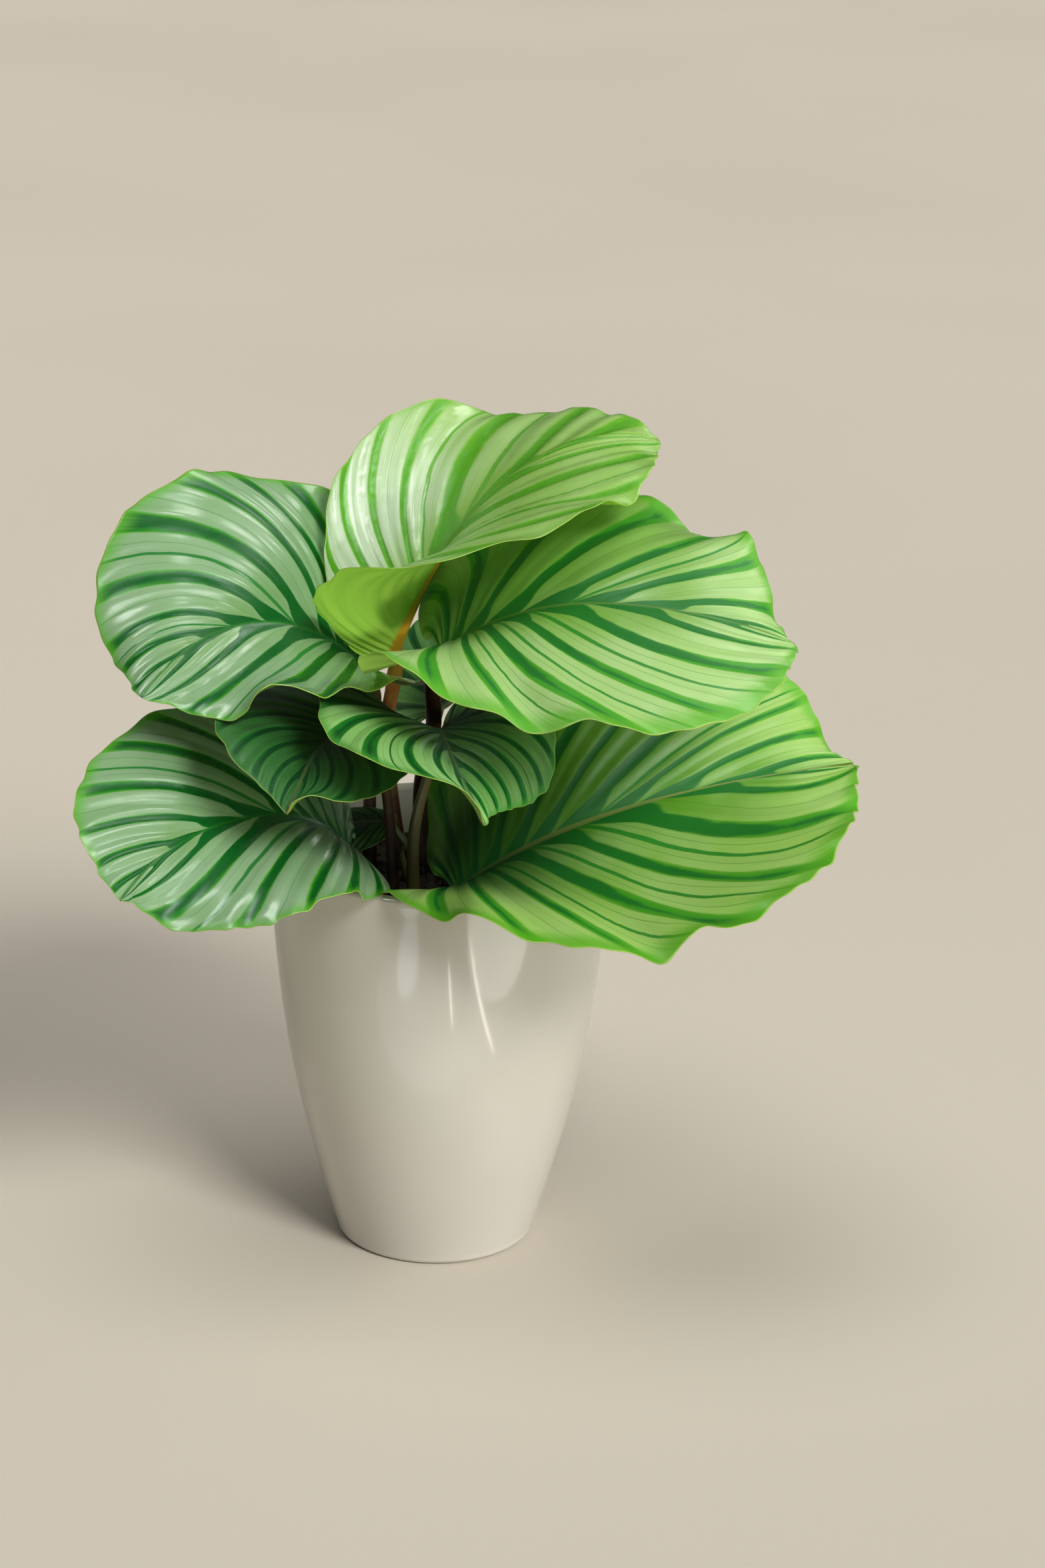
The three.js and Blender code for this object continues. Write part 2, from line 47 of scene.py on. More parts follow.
# Driving dimensions, in millimetres
POT_HEIGHT = 170
RIM_RADIUS = 69
FOOT_RADIUS = 40
POT_BELLY = 6.5
BELLY_LOW = 0.95
POT_WALL = 4.5
POT_FLOOR = 8
FOOT_ROUND = 3  # radius of the foot's outer edge
FOOT_RECESS = 1.2  # how far the unglazed middle stands off the table
SOIL_TOP = 150
SOIL_MOUND = 3
STEM_SINK = 14
CLEARANCE = 0.3

# The flat outline and the side veins that all blades share, as in the solid blades
TIP_POINT = 0.045
TIP_ANGLE = 0.16
WIDEST = 0.44
NOTCH = 0.32
LAST_VEIN = 0.93
VEIN_BOW = 15
BOW_SPREAD = 0.8
BASAL_SWEEP = 260
SWEEP_FADE = 0.3
VEIN_REACH = 0.52
VEIN_CROWDING = 1.7
MARGIN_PACE = 1.35
HELD_BEHIND = -0.25
FLAT_ENOUGH = 1e-3
RUFFLE_POWER = 3
SPINE_START = -0.3
SPINE_STEPS = 1300
FIRST_VEIN = 0.05
LAST_ROW = 0.94
RIB_DEPTH = 0.011  # of the blade's length
RIB_FADE = 0.75
SOLID_THICKNESS = 0.8

# The fine blade, in millimetres where it isn't a share
BLADE_ROWS = 190
TIP_ROWS = 10
BLADE_COLUMNS = 30
COLUMN_CROWDING = 0.7  # columns lie closer at the midrib and at the margin
BLADE_THICKNESS = 0.5
THIN_EDGE = 0.45  # the share that the blade loses towards its margin
RIB_WIDTH = 2.1
BEAD_HEIGHT = 0.3  # of the raised line along the midrib on the upper side
BEAD_WIDTH = 0.9
FRILL_HEIGHT = 0.9  # of the small waves of the margin
FRILL_STEP = 13  # from one small wave to the next
FRILLED_LENGTH = 130  # the blade's length for which both are given
NICK_DEPTH = 0.55
FRILL_POWER = 7  # how close to the margin the waves stay, and the nicks
NICK_POWER = 10
PEAK_WIDTH = 0.016  # of a single small peak of the margin, as a share of the side veins
PEAK_HEIGHT = 2.0

# The stripes
STRIPE_OFFSET = 8  # keeps the stripe coordinate above zero
STRIPE_SAMPLES = 400
RIB_SWEEP = 0.05  # how far back the stripes run along the midrib before they join it
SWEEP_WIDTH = 0.07
FAINT_LINE = 0.3  # strength of the fine line in a pale band that names none

# The fine stems, in millimetres where it isn't a share
JOINT_LENGTH = 13
JOINT_SWELL = 0.45
JOINT_BEND = 0.6
JOINT_REACH = 0.7
SHORT_REACH = 0.4
STEM_FLARE = 1.5
STEM_SIDES = 20
STEM_RINGS = 90
STEM_RUN_ON = 7  # how far the stem runs on under the midrib
RUN_ON_SHARE = 0.08  # and at most this share of the blade's length
STEM_UNROUND = 0.035

# The fine pot and soil
POT_SIDES = 144
SOIL_RINGS = 84
SOIL_SIDES = 220
CRUMBS = 420
CRUMB_SIZE = 2.2


def half_blade(**own):
    """One half of a blade, with what it doesn't say itself."""
    return {"frill": 1, "peaks": [], "bow": [0, 0, 0], "lines": [], **own}


# Every leaf: where its blade starts, the length of its midrib, and at the base, the middle and the
# tip its heading, rise and roll in degrees. Then where its stem stands in the soil, the points that
# the stem passes and its radius at foot and top. Each half has a width, a lobe, its lift and curl in
# degrees, the margin's ruffle at even steps, where dark stripes leave the midrib and where a fine
# dark line runs between two. Slant and bow say how the stripes cross the side veins.
LEAVES = [
    dict(
        name="top", slot="leaf_young", stem_slot="stem_brown", base=[-21, 17, 238], length=159,
        heading=[-29, 3, 26], rise=[69, 47, -24], roll=[38, 6, 15],
        foot=[-17, 15], past=[[-23, 17, 208]], radius=[3.6, 2.8],
        left=half_blade(
            width=65, lobe=-0.06, lift=[84, 0, 12], curl=[145, 62, -73], frill=0.7,
            ruffle=[1, 3.5, 6, 7, 6, 8, 8.5, -7, -1, 1, 2, 2, 1.5, 1.5, -0.5], slant=[0.02, 0.03, -0.2],
            bow=[0.01, 0.01, 0], stripes=[0.14, 0.22, 0.3, 0.365, 0.425, 0.547, 0.777, 0.92],
            lines=[0.47, 0.655]),
        right=half_blade(
            width=70, lobe=-0.03, lift=[58, 0, 8], curl=[118, 15, 1],
            ruffle=[-1.5, 4.5, -0.5, 1.5, -4.5, -0.5, 0.5, 3, -3, 1.5, 0, -1, -1.5],
            slant=[0.25, 0.25, 0.4], stripes=[0.1, 0.18, 0.26, 0.35, 0.45, 0.575, 0.73, 0.87],
            lines=[0.493]),
    ),
    dict(
        name="upper_left", slot="leaf_silver", stem_slot="stem_brown", base=[-28, 14, 233], length=129,
        heading=[205, 224, 230], rise=[51, 8, -40], roll=[-23, -52, -16],
        foot=[-29, 15], past=[[-29, 16, 200]], radius=[3.2, 2.2],
        left=half_blade(
            width=61, lobe=0.1, lift=[36, 6, -8], curl=[8, 68, 45],
            ruffle=[0.5, 2, 0.5, 0.5, -4.5, 0.5, -1, 6.5, 6, -4.5, -8, -7.5, -2.5],
            slant=[0.35, 0.32, 0.3], stripes=[0.08, 0.16, 0.25, 0.355, 0.537, 0.69, 0.86], lines=[0.44]),
        right=half_blade(
            width=64, lobe=0.11, lift=[24, 31, -19], curl=[-19, -51, 4],
            ruffle=[0, 2, 5, -3, 5, 5, 0.5, -2.5, -0.5], peaks=[0.465, 0.565], slant=[0.04, 0.03, 0.04],
            bow=[0.015, 0.015, 0.005],
            stripes=[0.1, 0.18, 0.255, 0.33, 0.39, 0.453, 0.545, 0.655, 0.757, 0.83, 0.92],
            lines=[0.603, 0.8]),
    ),
    dict(
        name="upper_right", slot="leaf_bright", stem_slot="stem_brown", base=[-2, -22, 254], length=158,
        heading=[-20, -25, 34], rise=[40, 8, -29], roll=[17, 34, 27],
        foot=[-7, 12], past=[[-8, 12, 188], [-4, -6, 212], [-3, -14, 226]], radius=[4.2, 3],
        left=half_blade(
            width=70, lobe=0.14, lift=[25, 16, 14], curl=[-6, -59, -48],
            ruffle=[-9, 0, 3, 2.5, -6.5, -6, 7, 4, -3], slant=[0, 0, 0.2], bow=[0.05, 0.05, 0],
            stripes=[0.08, 0.15, 0.222, 0.32, 0.455, 0.597, 0.7, 0.81, 0.92], lines=[0.655]),
        right=half_blade(
            width=75, lobe=0.18, lift=[33, 10, 8], curl=[2, 8, -21],
            ruffle=[0.5, -1.5, 1.5, 3.5, 2.5, -2.5, -1.5, -4, 5, -0.5, 2, -1.5, 0, 0.5, 2.5, 0.5, 0],
            slant=[0.25, 0.2, 0.35], bow=[0, 0, -0.02],
            stripes=[0.06, 0.13, 0.2, 0.278, 0.365, 0.478, 0.625, 0.77, 0.9], lines=[0.315, 0.421, 0.545]),
        # Painted shade near the base and on the left half, under the young leaf
        look=dict(
            pale_inner=[122, 176, 64], pale=[170, 212, 124], silver=[196, 224, 168], painted_left_shade=0.75,
            flare_reach=0.16, under=[186, 226, 100], base_shade=0.6, base_shade_reach=0.55),
    ),
    dict(
        name="lower_left", slot="leaf_silver", stem_slot="stem_olive", base=[-34, -32, 177], length=122,
        heading=[213, 217, 252], rise=[52, -4, -17], roll=[-24, -33, -33],
        foot=[-26, -24], past=[], radius=[3, 2.1],
        left=half_blade(
            width=57, lobe=0.15, lift=[23, 10, -14], curl=[-38, 10, -5],
            ruffle=[0.5, 0.5, -3, 0.5, -1, -0.5, 1, 1.5, 1.5, -1, -4.5, -2.5, 1], slant=[0.2, 0.3, 0.4],
            bow=[-0.02, 0, 0], stripes=[0.1, 0.17, 0.24, 0.37, 0.545, 0.72, 0.87], lines=[0.447]),
        right=half_blade(
            width=56, lobe=0.14, lift=[11, 14, 0], curl=[-21, -23, -28],
            ruffle=[0, 0.5, 0.5, 0, -1, 1, 0, 0, 0], slant=[0.02, 0.02, 0], bow=[0.01, 0.01, 0],
            stripes=[0.08, 0.15, 0.22, 0.29, 0.36, 0.43, 0.5, 0.62, 0.727, 0.83, 0.93], lines=[0.567]),
        # Painted shade near the base, under the middle leaves
        look=dict(
            base_shade=0.6, base_shade_reach=0.5),
    ),
    dict(
        name="lower_right", slot="leaf_bright", stem_slot="stem_olive", base=[6, -44, 163], length=171,
        heading=[5, 6, 29], rise=[39, 16, -2], roll=[6, 43, 21],
        foot=[1, -43], past=[], radius=[3.2, 2.4],
        left=half_blade(
            width=80, lobe=0.08, lift=[16, 23, 20], curl=[-16, -12, 4],
            ruffle=[0, 0.5, -0.5, 0, 0, 0, 0, 2.5, -4], slant=[0.12, 0.14, 0.2], bow=[0.02, 0.03, 0.02],
            stripes=[0.07, 0.14, 0.22, 0.31, 0.4, 0.475, 0.565, 0.66, 0.745, 0.87], lines=[0.63]),
        right=half_blade(
            width=81, lobe=0.15, lift=[47, 7, 25], curl=[-57, 29, 5], frill=1.5,
            ruffle=[0.5, 2.5, -7, 2.5, -4.5, 3.5, -5.5, 3, -4, 3.5, -1, -1, 1, 0.5, -0.5, 0.5, 0],
            slant=[0.15, 0.14, 0.2], bow=[-0.02, -0.015, 0],
            stripes=[0.06, 0.12, 0.19, 0.275, 0.385, 0.508, 0.655, 0.82, 0.93], lines=[0.32, 0.45, 0.58]),
        # Painted shade near the base and on the left half, under the upper right leaf
        look=dict(
            pale_inner=[100, 164, 44], pale=[166, 212, 104], ripe_at=0.7, painted_left_shade=0.75, softness=0.03,
            fringe=0.09, base_shade=0.85, base_shade_reach=0.8, rib=[134, 152, 78], rib_width=2.2, rib_share=0.9,
            flare_reach=0.14, specular=0.3),
    ),
    dict(
        name="middle_left", slot="leaf_shade", stem_slot="stem_brown", base=[-30, -24, 226], length=82,
        heading=[223, 259, 250], rise=[-4, -3, -29], roll=[2, -7, -7],
        foot=[-18, -17], past=[[-21, -19, 195]], radius=[2.8, 1.8],
        left=half_blade(
            width=37, lobe=0.14, lift=[11, 9, 17], curl=[-28, -20, -25],
            ruffle=[0, 0, 0.5, 0, -2, 0.5, 5], slant=[0.3, 0.3, 0.3],
            stripes=[0.1, 0.22, 0.34, 0.46, 0.58, 0.7, 0.83]),
        right=half_blade(
            width=41, lobe=0.18, lift=[33, 27, 20], curl=[-31, -15, -6],
            ruffle=[0, -0.5, -2, -5, -2, 0.5, 1], slant=[0.2, 0.2, 0.2],
            stripes=[0.1, 0.22, 0.34, 0.46, 0.58, 0.7, 0.83]),
        # Painted shade: darker still than the shade look, deep under the leaves above
        look=dict(
            pale=[52, 108, 50], pale_inner=[30, 78, 30], silver=[76, 132, 72], core=[16, 84, 30],
            dark=[2, 56, 24], margin=[48, 116, 40]),
    ),
    dict(
        name="middle_right", slot="leaf_shade", stem_slot="stem_olive", base=[-3, -24, 220], length=102,
        heading=[280, 279, 312], rise=[35, 1, -49], roll=[1, -6, -25],
        foot=[-10, -24], past=[[-9.5, -25, 184]], radius=[3.2, 1.9],
        left=half_blade(
            width=46, lobe=0.19, lift=[45, 0, -5], curl=[-21, -33, -32],
            ruffle=[1, -1.5, 0, 0, -0.5, -1, 1, 0.5, -0.5], slant=[-0.12, -0.1, -0.1],
            bow=[-0.09, -0.08, -0.08], stripes=[0.1, 0.2, 0.3, 0.4, 0.5, 0.59, 0.685, 0.775, 0.85, 0.93],
            lines=[0.64]),
        right=half_blade(
            width=48, lobe=0.25, lift=[36, 12, 29], curl=[13, -16, -29],
            ruffle=[-0.5, 1, 0.5, 1.5, 2, -2.5, -1.5, -1.5, 3, 4, 0.5], slant=[0.1, 0.1, 0.1],
            stripes=[0.1, 0.2, 0.3, 0.4, 0.5, 0.62, 0.74, 0.86], lines=[0.56]),
        # Painted light: pale bands lighter than the shade look where the front light reaches it; the base,
        # the shaded lobe and the left half are painted shade
        look=dict(
            pale=[142, 198, 110], pale_inner=[48, 104, 38], silver=[172, 216, 146], core=[20, 112, 30],
            dark=[0, 70, 28], base_shade=0.75, specular=0.2, ripe_at=0.9, shaded_lobe=0.8, painted_left_shade=0.5),
    ),
    dict(
        name="centre", slot="leaf_shade", stem_slot="stem_olive", base=[-19, -3, 177], length=34,
        heading=[174, 180, 188], rise=[6, -12, -26], roll=[-4, -12, -16],
        foot=[-13, -3], past=[[-15.5, -3.5, 166]], radius=[1.8, 1.2],
        left=half_blade(
            width=16, lobe=0.08, lift=[-4, 0, 0], curl=[-39, -28, -20], ruffle=[0.5, -1, -1],
            slant=[0.1, 0.1, 0.1], stripes=[0.15, 0.3, 0.45, 0.6, 0.75, 0.9]),
        right=half_blade(
            width=14, lobe=0.08, lift=[6, 4, 4], curl=[-12, -13, -10], ruffle=[0, -0.5, 0],
            slant=[0.1, 0.1, 0.1], stripes=[0.15, 0.3, 0.45, 0.6, 0.75, 0.9]),
        look=dict(
            pale=[64, 104, 44], pale_inner=[40, 72, 28], silver=[76, 116, 62], core=[30, 76, 26],
            dark=[12, 54, 22], margin=[62, 104, 40], specular=0.25),
    ),
    dict(
        name="back", slot="leaf_shade", stem_slot="stem_brown", base=[-4, 34, 210], length=102,
        heading=[57, 62, 61], rise=[40, 10, -15], roll=[-16, -2, 0],
        foot=[2, 28], past=[], radius=[3.2, 2.1],
        left=half_blade(
            width=43, lobe=0.12, lift=[-3, 7, 5], curl=[-20, -20, -14], ruffle=[-1, -0.5, 0, 0, 0],
            slant=[0.1, 0.12, 0.15], stripes=[0.08, 0.16, 0.25, 0.35, 0.46, 0.58, 0.7, 0.82, 0.92],
            lines=[0.52]),
        right=half_blade(
            width=46, lobe=0.06, lift=[30, 12, 5], curl=[-10, -15, -15], ruffle=[0, 0, 0, 0, 0],
            slant=[0.1, 0.12, 0.15], stripes=[0.08, 0.16, 0.25, 0.35, 0.46, 0.58, 0.7, 0.82, 0.92],
            lines=[0.4]),
    ),
]


def along(values, share):
    """Three values, at the base, the middle and the tip, turned into one at any share."""
    base, middle, tip = values
    return (base * (1 - share) * (1 - 2 * share) + 4 * middle * share * (1 - share)
            + tip * share * (2 * share - 1))


def ripple(heights, share):
    """A smooth wave through evenly spaced heights, zero at both ends."""
    all_heights = np.array([0, *heights, 0], float)
    last = len(all_heights) - 1
    place = np.clip(share * last, 0, last - 1e-9)
    i = np.floor(place).astype(int)
    u = place - i
    before = all_heights[np.maximum(i - 1, 0)]
    start = all_heights[i]
    end = all_heights[i + 1]
    after = all_heights[np.minimum(i + 2, last)]
    return 0.5 * (2 * start + (end - before) * u
                  + (2 * before - 5 * start + 4 * end - after) * u * u
                  + (3 * start - before - 3 * end + after) * u ** 3)


def flat_point(length, half, vein, out):
    """The blade pressed flat: distances along the midrib and out from it."""
    lobe = half["lobe"] * length
    centre = WIDEST * length
    angle = math.pi * (1 - vein) ** MARGIN_PACE
    cosine = np.cos(angle)
    fore = (centre + (length * (1 - TIP_POINT) - centre) * cosine
            + length * TIP_POINT * np.exp(-(angle / TIP_ANGLE) ** 2))
    back = (centre + (centre + lobe) * cosine
            + lobe * np.exp(-((math.pi - angle) / NOTCH) ** 2))
    margin_along = np.where(cosine > 0, fore, back)
    margin_out = half["width"] * np.sin(angle)
    start = LAST_VEIN * length * vein ** VEIN_CROWDING
    reach = np.hypot(margin_out, margin_along - start)
    forward = VEIN_BOW * np.maximum(0, np.sin(math.pi * vein)) ** BOW_SPREAD
    backward = BASAL_SWEEP * max(0, half["lobe"]) * np.exp(-vein / SWEEP_FADE)
    bearing = np.arctan2(margin_out, margin_along - start) + np.radians(forward - backward)
    bend_along = start + VEIN_REACH * reach * np.cos(bearing)
    bend_out = VEIN_REACH * reach * np.sin(bearing)
    rest = 1 - out
    return (rest * rest * start + 2 * out * rest * bend_along + out * out * margin_along,
            2 * out * rest * bend_out + out * out * margin_out)


class Spine:
    """The midrib's line and the frame that it carries."""

    def __init__(self, leaf):
        self.shares = np.linspace(SPINE_START, 1, SPINE_STEPS + 1)
        heading, rise, roll = (np.radians(along(leaf[key], self.shares))
                               for key in ("heading", "rise", "roll"))
        flat = np.cos(rise)
        self.ahead = np.stack([flat * np.cos(heading), flat * np.sin(heading), np.sin(rise)], -1)
        level = np.stack([-np.sin(heading), np.cos(heading), 0 * heading], -1)
        lifted = np.cross(self.ahead, level)
        turn = roll[:, None]
        self.side = np.cos(turn) * level + np.sin(turn) * lifted
        self.up = np.cross(self.ahead, self.side)
        step = (1 - SPINE_START) / SPINE_STEPS * leaf["length"]
        middles = (self.ahead[1:] + self.ahead[:-1]) / 2 * step
        self.points = np.concatenate([np.zeros((1, 3)), np.cumsum(middles, 0)])
        origin = self.at(self.points, np.array(0.0))
        self.points += np.array(leaf["base"], float) - origin

    def at(self, values, share):
        return np.stack([np.interp(share, self.shares, values[:, k]) for k in range(3)], -1)


def frill(leaf, side, vein):
    """Small waves of the margin, up and down, and its small nicks, in and out, in mm."""
    size = leaf["length"] / FRILLED_LENGTH
    waves = 2.3 * leaf["length"] * vein / FRILL_STEP
    start = 1.7 * len(leaf["name"]) + (2.1 if side == "left" else 0)
    fade = np.clip(vein / 0.1, 0, 1) * np.clip((1 - vein) / 0.08, 0, 1)
    height = (np.sin(waves + start) + 0.6 * np.sin(1.83 * waves + 2 * start)
              + 0.4 * np.sin(3.1 * waves + 5 * start))
    nicks = np.sin(2.7 * waves + 3 * start) + 0.8 * np.sin(4.9 * waves + start)
    strength = leaf[side]["frill"] * size * fade
    peaks = PEAK_HEIGHT * sum(
        np.exp(-((vein - peak) / PEAK_WIDTH) ** 2) for peak in leaf[side]["peaks"])
    return FRILL_HEIGHT * strength * height + peaks, NICK_DEPTH * strength * nicks + peaks


def blade_point(leaf, spine, side, vein, out):
    """Points of the blade's middle surface, and where they lie in the flat blade."""
    half = leaf[side]
    far, wide = flat_point(leaf["length"], half, vein, out)
    small_wave, nick = frill(leaf, side, vein)
    wide = wide + nick * out ** NICK_POWER
    share = far / leaf["length"]
    held = np.clip(share, HELD_BEHIND, 1)
    lift = np.radians(along(half["lift"], held))
    curl = np.radians(along(half["curl"], held))
    curl = np.where(np.abs(curl) < FLAT_ENOUGH, FLAT_ENOUGH, curl)
    slope = lift + curl * wide / half["width"]
    wave = ripple(half["ruffle"], vein) * out ** RUFFLE_POWER + small_wave * out ** FRILL_POWER
    radius = half["width"] / curl
    sideways = radius * (np.sin(slope) - np.sin(lift)) - np.sin(slope) * wave
    upward = radius * (np.cos(lift) - np.cos(slope)) + np.cos(slope) * wave
    hand = 1 if side == "left" else -1
    points = (spine.at(spine.points, share)
              + spine.at(spine.side, share) * (hand * sideways)[..., None]
              + spine.at(spine.up, share) * upward[..., None])
    return points, far, hand * wide


def stripe_place(half, vein, out):
    """The stripe coordinate: whole numbers in the middle of the dark stripes. Also how strong
    the fine line of each pale band is."""
    fine = np.linspace(0, 1, STRIPE_SAMPLES)
    place = np.empty_like(vein)
    for j, v in enumerate(out[0]):
        shift = along(half["slant"], fine) * v + along(half["bow"], fine) * 4 * v * (1 - v)
        shift = shift - RIB_SWEEP * math.exp(-v / SWEEP_WIDTH)
        crossed = np.maximum.accumulate(fine + shift * 4 * fine * (1 - fine))
        place[:, j] = np.interp(vein[:, j], crossed, fine)

    stripes = half["stripes"]
    knots = [(2 * stripes[0] - stripes[1], -1)]
    strength = [FAINT_LINE]
    for k, (here, there) in enumerate(zip(stripes, stripes[1:])):
        named = [line for line in half["lines"] if here < line < there]
        knots += [(here, k), (named[0] if named else (here + there) / 2, k + 0.5)]
        strength.append(1 if named else FAINT_LINE)
    last = len(stripes) - 1
    knots += [(stripes[-1], last), (2 * stripes[-1] - stripes[-2], last + 1)]
    strength.append(FAINT_LINE)

    xs, ys = zip(*knots)
    number = np.interp(place, xs, ys)
    for end, inner, beyond in ((0, 1, place < xs[0]), (-1, -2, place > xs[-1])):
        step = (xs[end] - xs[inner]) / (ys[end] - ys[inner])
        number = np.where(beyond, ys[end] + (place - xs[end]) / step, number)
    bands = np.arange(len(strength)) - 0.5
    return number + STRIPE_OFFSET, np.interp(number, bands, strength)


def crowded(count):
    even = np.linspace(0, 1, count + 1)
    return even - COLUMN_CROWDING * np.sin(2 * math.pi * even) / (2 * math.pi)


def blade_grid(leaf, spine, side):
    """A fine grid over one half, with a tip that keeps the margin's point."""
    outs = crowded(BLADE_COLUMNS)
    vein, out = np.meshgrid(np.linspace(FIRST_VEIN, LAST_ROW, BLADE_ROWS), outs, indexing="ij")
    points, far, wide = blade_point(leaf, spine, side, vein, out)

    steps = np.linspace(0, 1, TIP_ROWS + 1)[1:, None]
    tip_vein = LAST_ROW + (1 - LAST_ROW) * steps
    margin, margin_far, margin_wide = blade_point(leaf, spine, side, tip_vein, np.ones_like(steps))
    rib_far = far[-1, 0] + (leaf["length"] - far[-1, 0]) * steps
    rib = spine.at(spine.points, rib_far / leaf["length"])
    bulge = points[-1] - (points[-1, 0] + (points[-1, -1] - points[-1, 0]) * outs[:, None])
    tip = rib + (margin - rib) * outs[None, :, None] + bulge * (1 - steps)[..., None]
    parts = {
        "points": (points, tip),
        "far": (far, rib_far + (margin_far - rib_far) * outs),
        "wide": (wide, margin_wide * outs),
        "vein": (vein, tip_vein + 0 * outs),
        "out": (out, outs + 0 * steps),
    }
    return {key: np.concatenate(pair) for key, pair in parts.items()}


def placed(name, data, matrix=None):
    """A new object of the scene."""
    thing = bpy.data.objects.new(name, data)
    bpy.context.scene.collection.objects.link(thing)
    if matrix is not None:
        thing.matrix_world = matrix
    return thing


def new_object(name, vertices, faces, materials, slots=None, layers=None):
    """A smooth mesh in metres. layers: name of a UV map to two numbers for each face corner."""
    mesh = bpy.data.meshes.new(name)
    mesh.from_pydata((np.asarray(vertices) * MM).tolist(), [], faces)
    for material in materials:
        mesh.materials.append(material)
    mesh.polygons.foreach_set("use_smooth", [True] * len(mesh.polygons))
    if slots is not None:
        mesh.polygons.foreach_set("material_index", slots)
    for layer, values in (layers or {}).items():
        mesh.uv_layers.new(name=layer).data.foreach_set(
            "uv", np.asarray(values, np.float32).ravel())
    mesh.update()
    return placed(name, mesh)


# What each UV map of a blade holds, and the unit that the two lengths are given in
BLADE_LAYERS = {
    "stripes": ("number", "out", 1), "flat": ("far", "wide", 100), "marks": ("line", "vein", 1)}


def build_blade(leaf, look, materials):
    spine = Spine(leaf)
    grids = {side: blade_grid(leaf, spine, side) for side in SIDES}
    for side, grid in grids.items():
        grid["number"], grid["line"] = stripe_place(leaf[side], grid["vein"], grid["out"])

    # One vertex for each place of the grid, shared along the midrib and at the tip
    rows, columns = grids["left"]["vein"].shape
    left = np.arange(rows * columns).reshape(rows, columns)
    right = left + rows * columns
    right[:, 0] = left[:, 0]
    left[-1, :] = right[-1, :] = int(left[-1, -1])
    index = {"left": left, "right": right}
    middle = np.zeros((2 * rows * columns, 3))
    flat = {key: np.zeros(2 * rows * columns) for key in ("far", "wide", "out", "number")}
    for side in ("right", "left"):
        names = index[side].ravel()
        middle[names] = grids[side]["points"].reshape(-1, 3)
        for key, values in flat.items():
            values[names] = grids[side][key].ravel()

    faces = []
    corners = []  # side, row and column of every face corner
    for side in SIDES:
        for i in range(rows - 1):
            for j in range(columns - 1):
                loop = [(i, j), (i + 1, j), (i + 1, j + 1), (i, j + 1)]
                if side == "right":
                    loop.reverse()
                names = [int(index[side][place]) for place in loop]
                kept = [k for k in range(4) if names[k] != names[k - 1]]
                faces.append([names[k] for k in kept])
                corners.append([(side, *loop[k]) for k in kept])

    normals = np.zeros_like(middle)
    for size in (3, 4):
        chosen = np.array([face for face in faces if len(face) == size])
        a, b, c, d = (middle[chosen[:, k % size]] for k in range(4))
        normal = np.cross(c - a, d - b) if size == 4 else np.cross(b - a, c - a)
        for k in range(size):
            np.add.at(normals, chosen[:, k], normal)
    lengths = np.linalg.norm(normals, axis=1, keepdims=True)
    normals /= np.where(lengths > 0, lengths, 1)

    out, wide = flat["out"], flat["wide"]
    taper = 1 - RIB_FADE * np.clip(flat["far"] / leaf["length"], 0, 1)
    fade = np.clip(out / 0.25, 0, 1) * np.clip((1 - out) / 0.12, 0, 1)
    pleat = -look["pleat"] * np.cos(4 * math.pi * flat["number"]) * fade * fade * (3 - 2 * fade)
    bead = BEAD_HEIGHT * taper * np.exp(-(wide / (BEAD_WIDTH * taper + 0.1)) ** 2)
    rib = RIB_DEPTH * leaf["length"] * taper * np.exp(-(wide / (RIB_WIDTH * taper + 0.2)) ** 2)
    thin = BLADE_THICKNESS / 2 * (1 - THIN_EDGE * out ** 6)
    upper = middle + normals * (pleat + thin + bead)[:, None]
    lower = middle + normals * (pleat - thin - rib)[:, None]

    used = np.unique(np.concatenate([left.ravel(), right.ravel()]))
    compact = {int(name): place for place, name in enumerate(used)}
    size = len(used)
    all_faces, slots, places = [], [], []
    for under in (0, 1):
        for face, spots in zip(faces, corners):
            order = range(len(face))[::-1] if under else range(len(face))
            all_faces.append([compact[face[k]] + size * under for k in order])
            slots.append(under)
            places += [spots[k] for k in order]
    rim = [("left", 0, 0)]
    rim += [("right", 0, j) for j in range(1, columns)]
    rim += [("right", i, columns - 1) for i in range(1, rows)]
    rim += [("left", i, columns - 1) for i in range(rows - 2, -1, -1)]
    rim += [("left", 0, j) for j in range(columns - 2, 0, -1)]
    for here, there in zip(rim, rim[1:] + rim[:1]):
        a, b = (compact[int(index[side][i, j])] for side, i, j in (here, there))
        all_faces.append([a, a + size, b + size, b])
        slots.append(0)
        places += [here, here, there, there]

    layers = {
        name: [(grids[side][first][i, j] / unit, grids[side][second][i, j] / unit)
               for side, i, j in places]
        for name, (first, second, unit) in BLADE_LAYERS.items()}
    return new_object(f"fine_blade_{leaf['name']}", np.concatenate([upper[used], lower[used]]),
                      all_faces, materials, slots, layers)


# Node materials

def linear(red, green, blue):
    """A colour given as it looks on a screen, 0 to 255, turned into the shader's values."""
    return tuple(((c / 255 + 0.055) / 1.055) ** 2.4 if c > 10 else c / 255 / 12.92
                 for c in (red, green, blue)) + (1.0,)


class Value:
    """What a node gives. Values can be added, subtracted and multiplied in the node tree."""

    def __init__(self, nodes, socket):
        self.nodes = nodes
        self.socket = socket

    def __add__(self, other):
        return self.nodes.math("ADD", self, other)

    def __sub__(self, other):
        return self.nodes.math("SUBTRACT", self, other)

    def __rsub__(self, other):
        return self.nodes.math("SUBTRACT", other, self)

    def __mul__(self, other):
        return self.nodes.math("MULTIPLY", self, other)


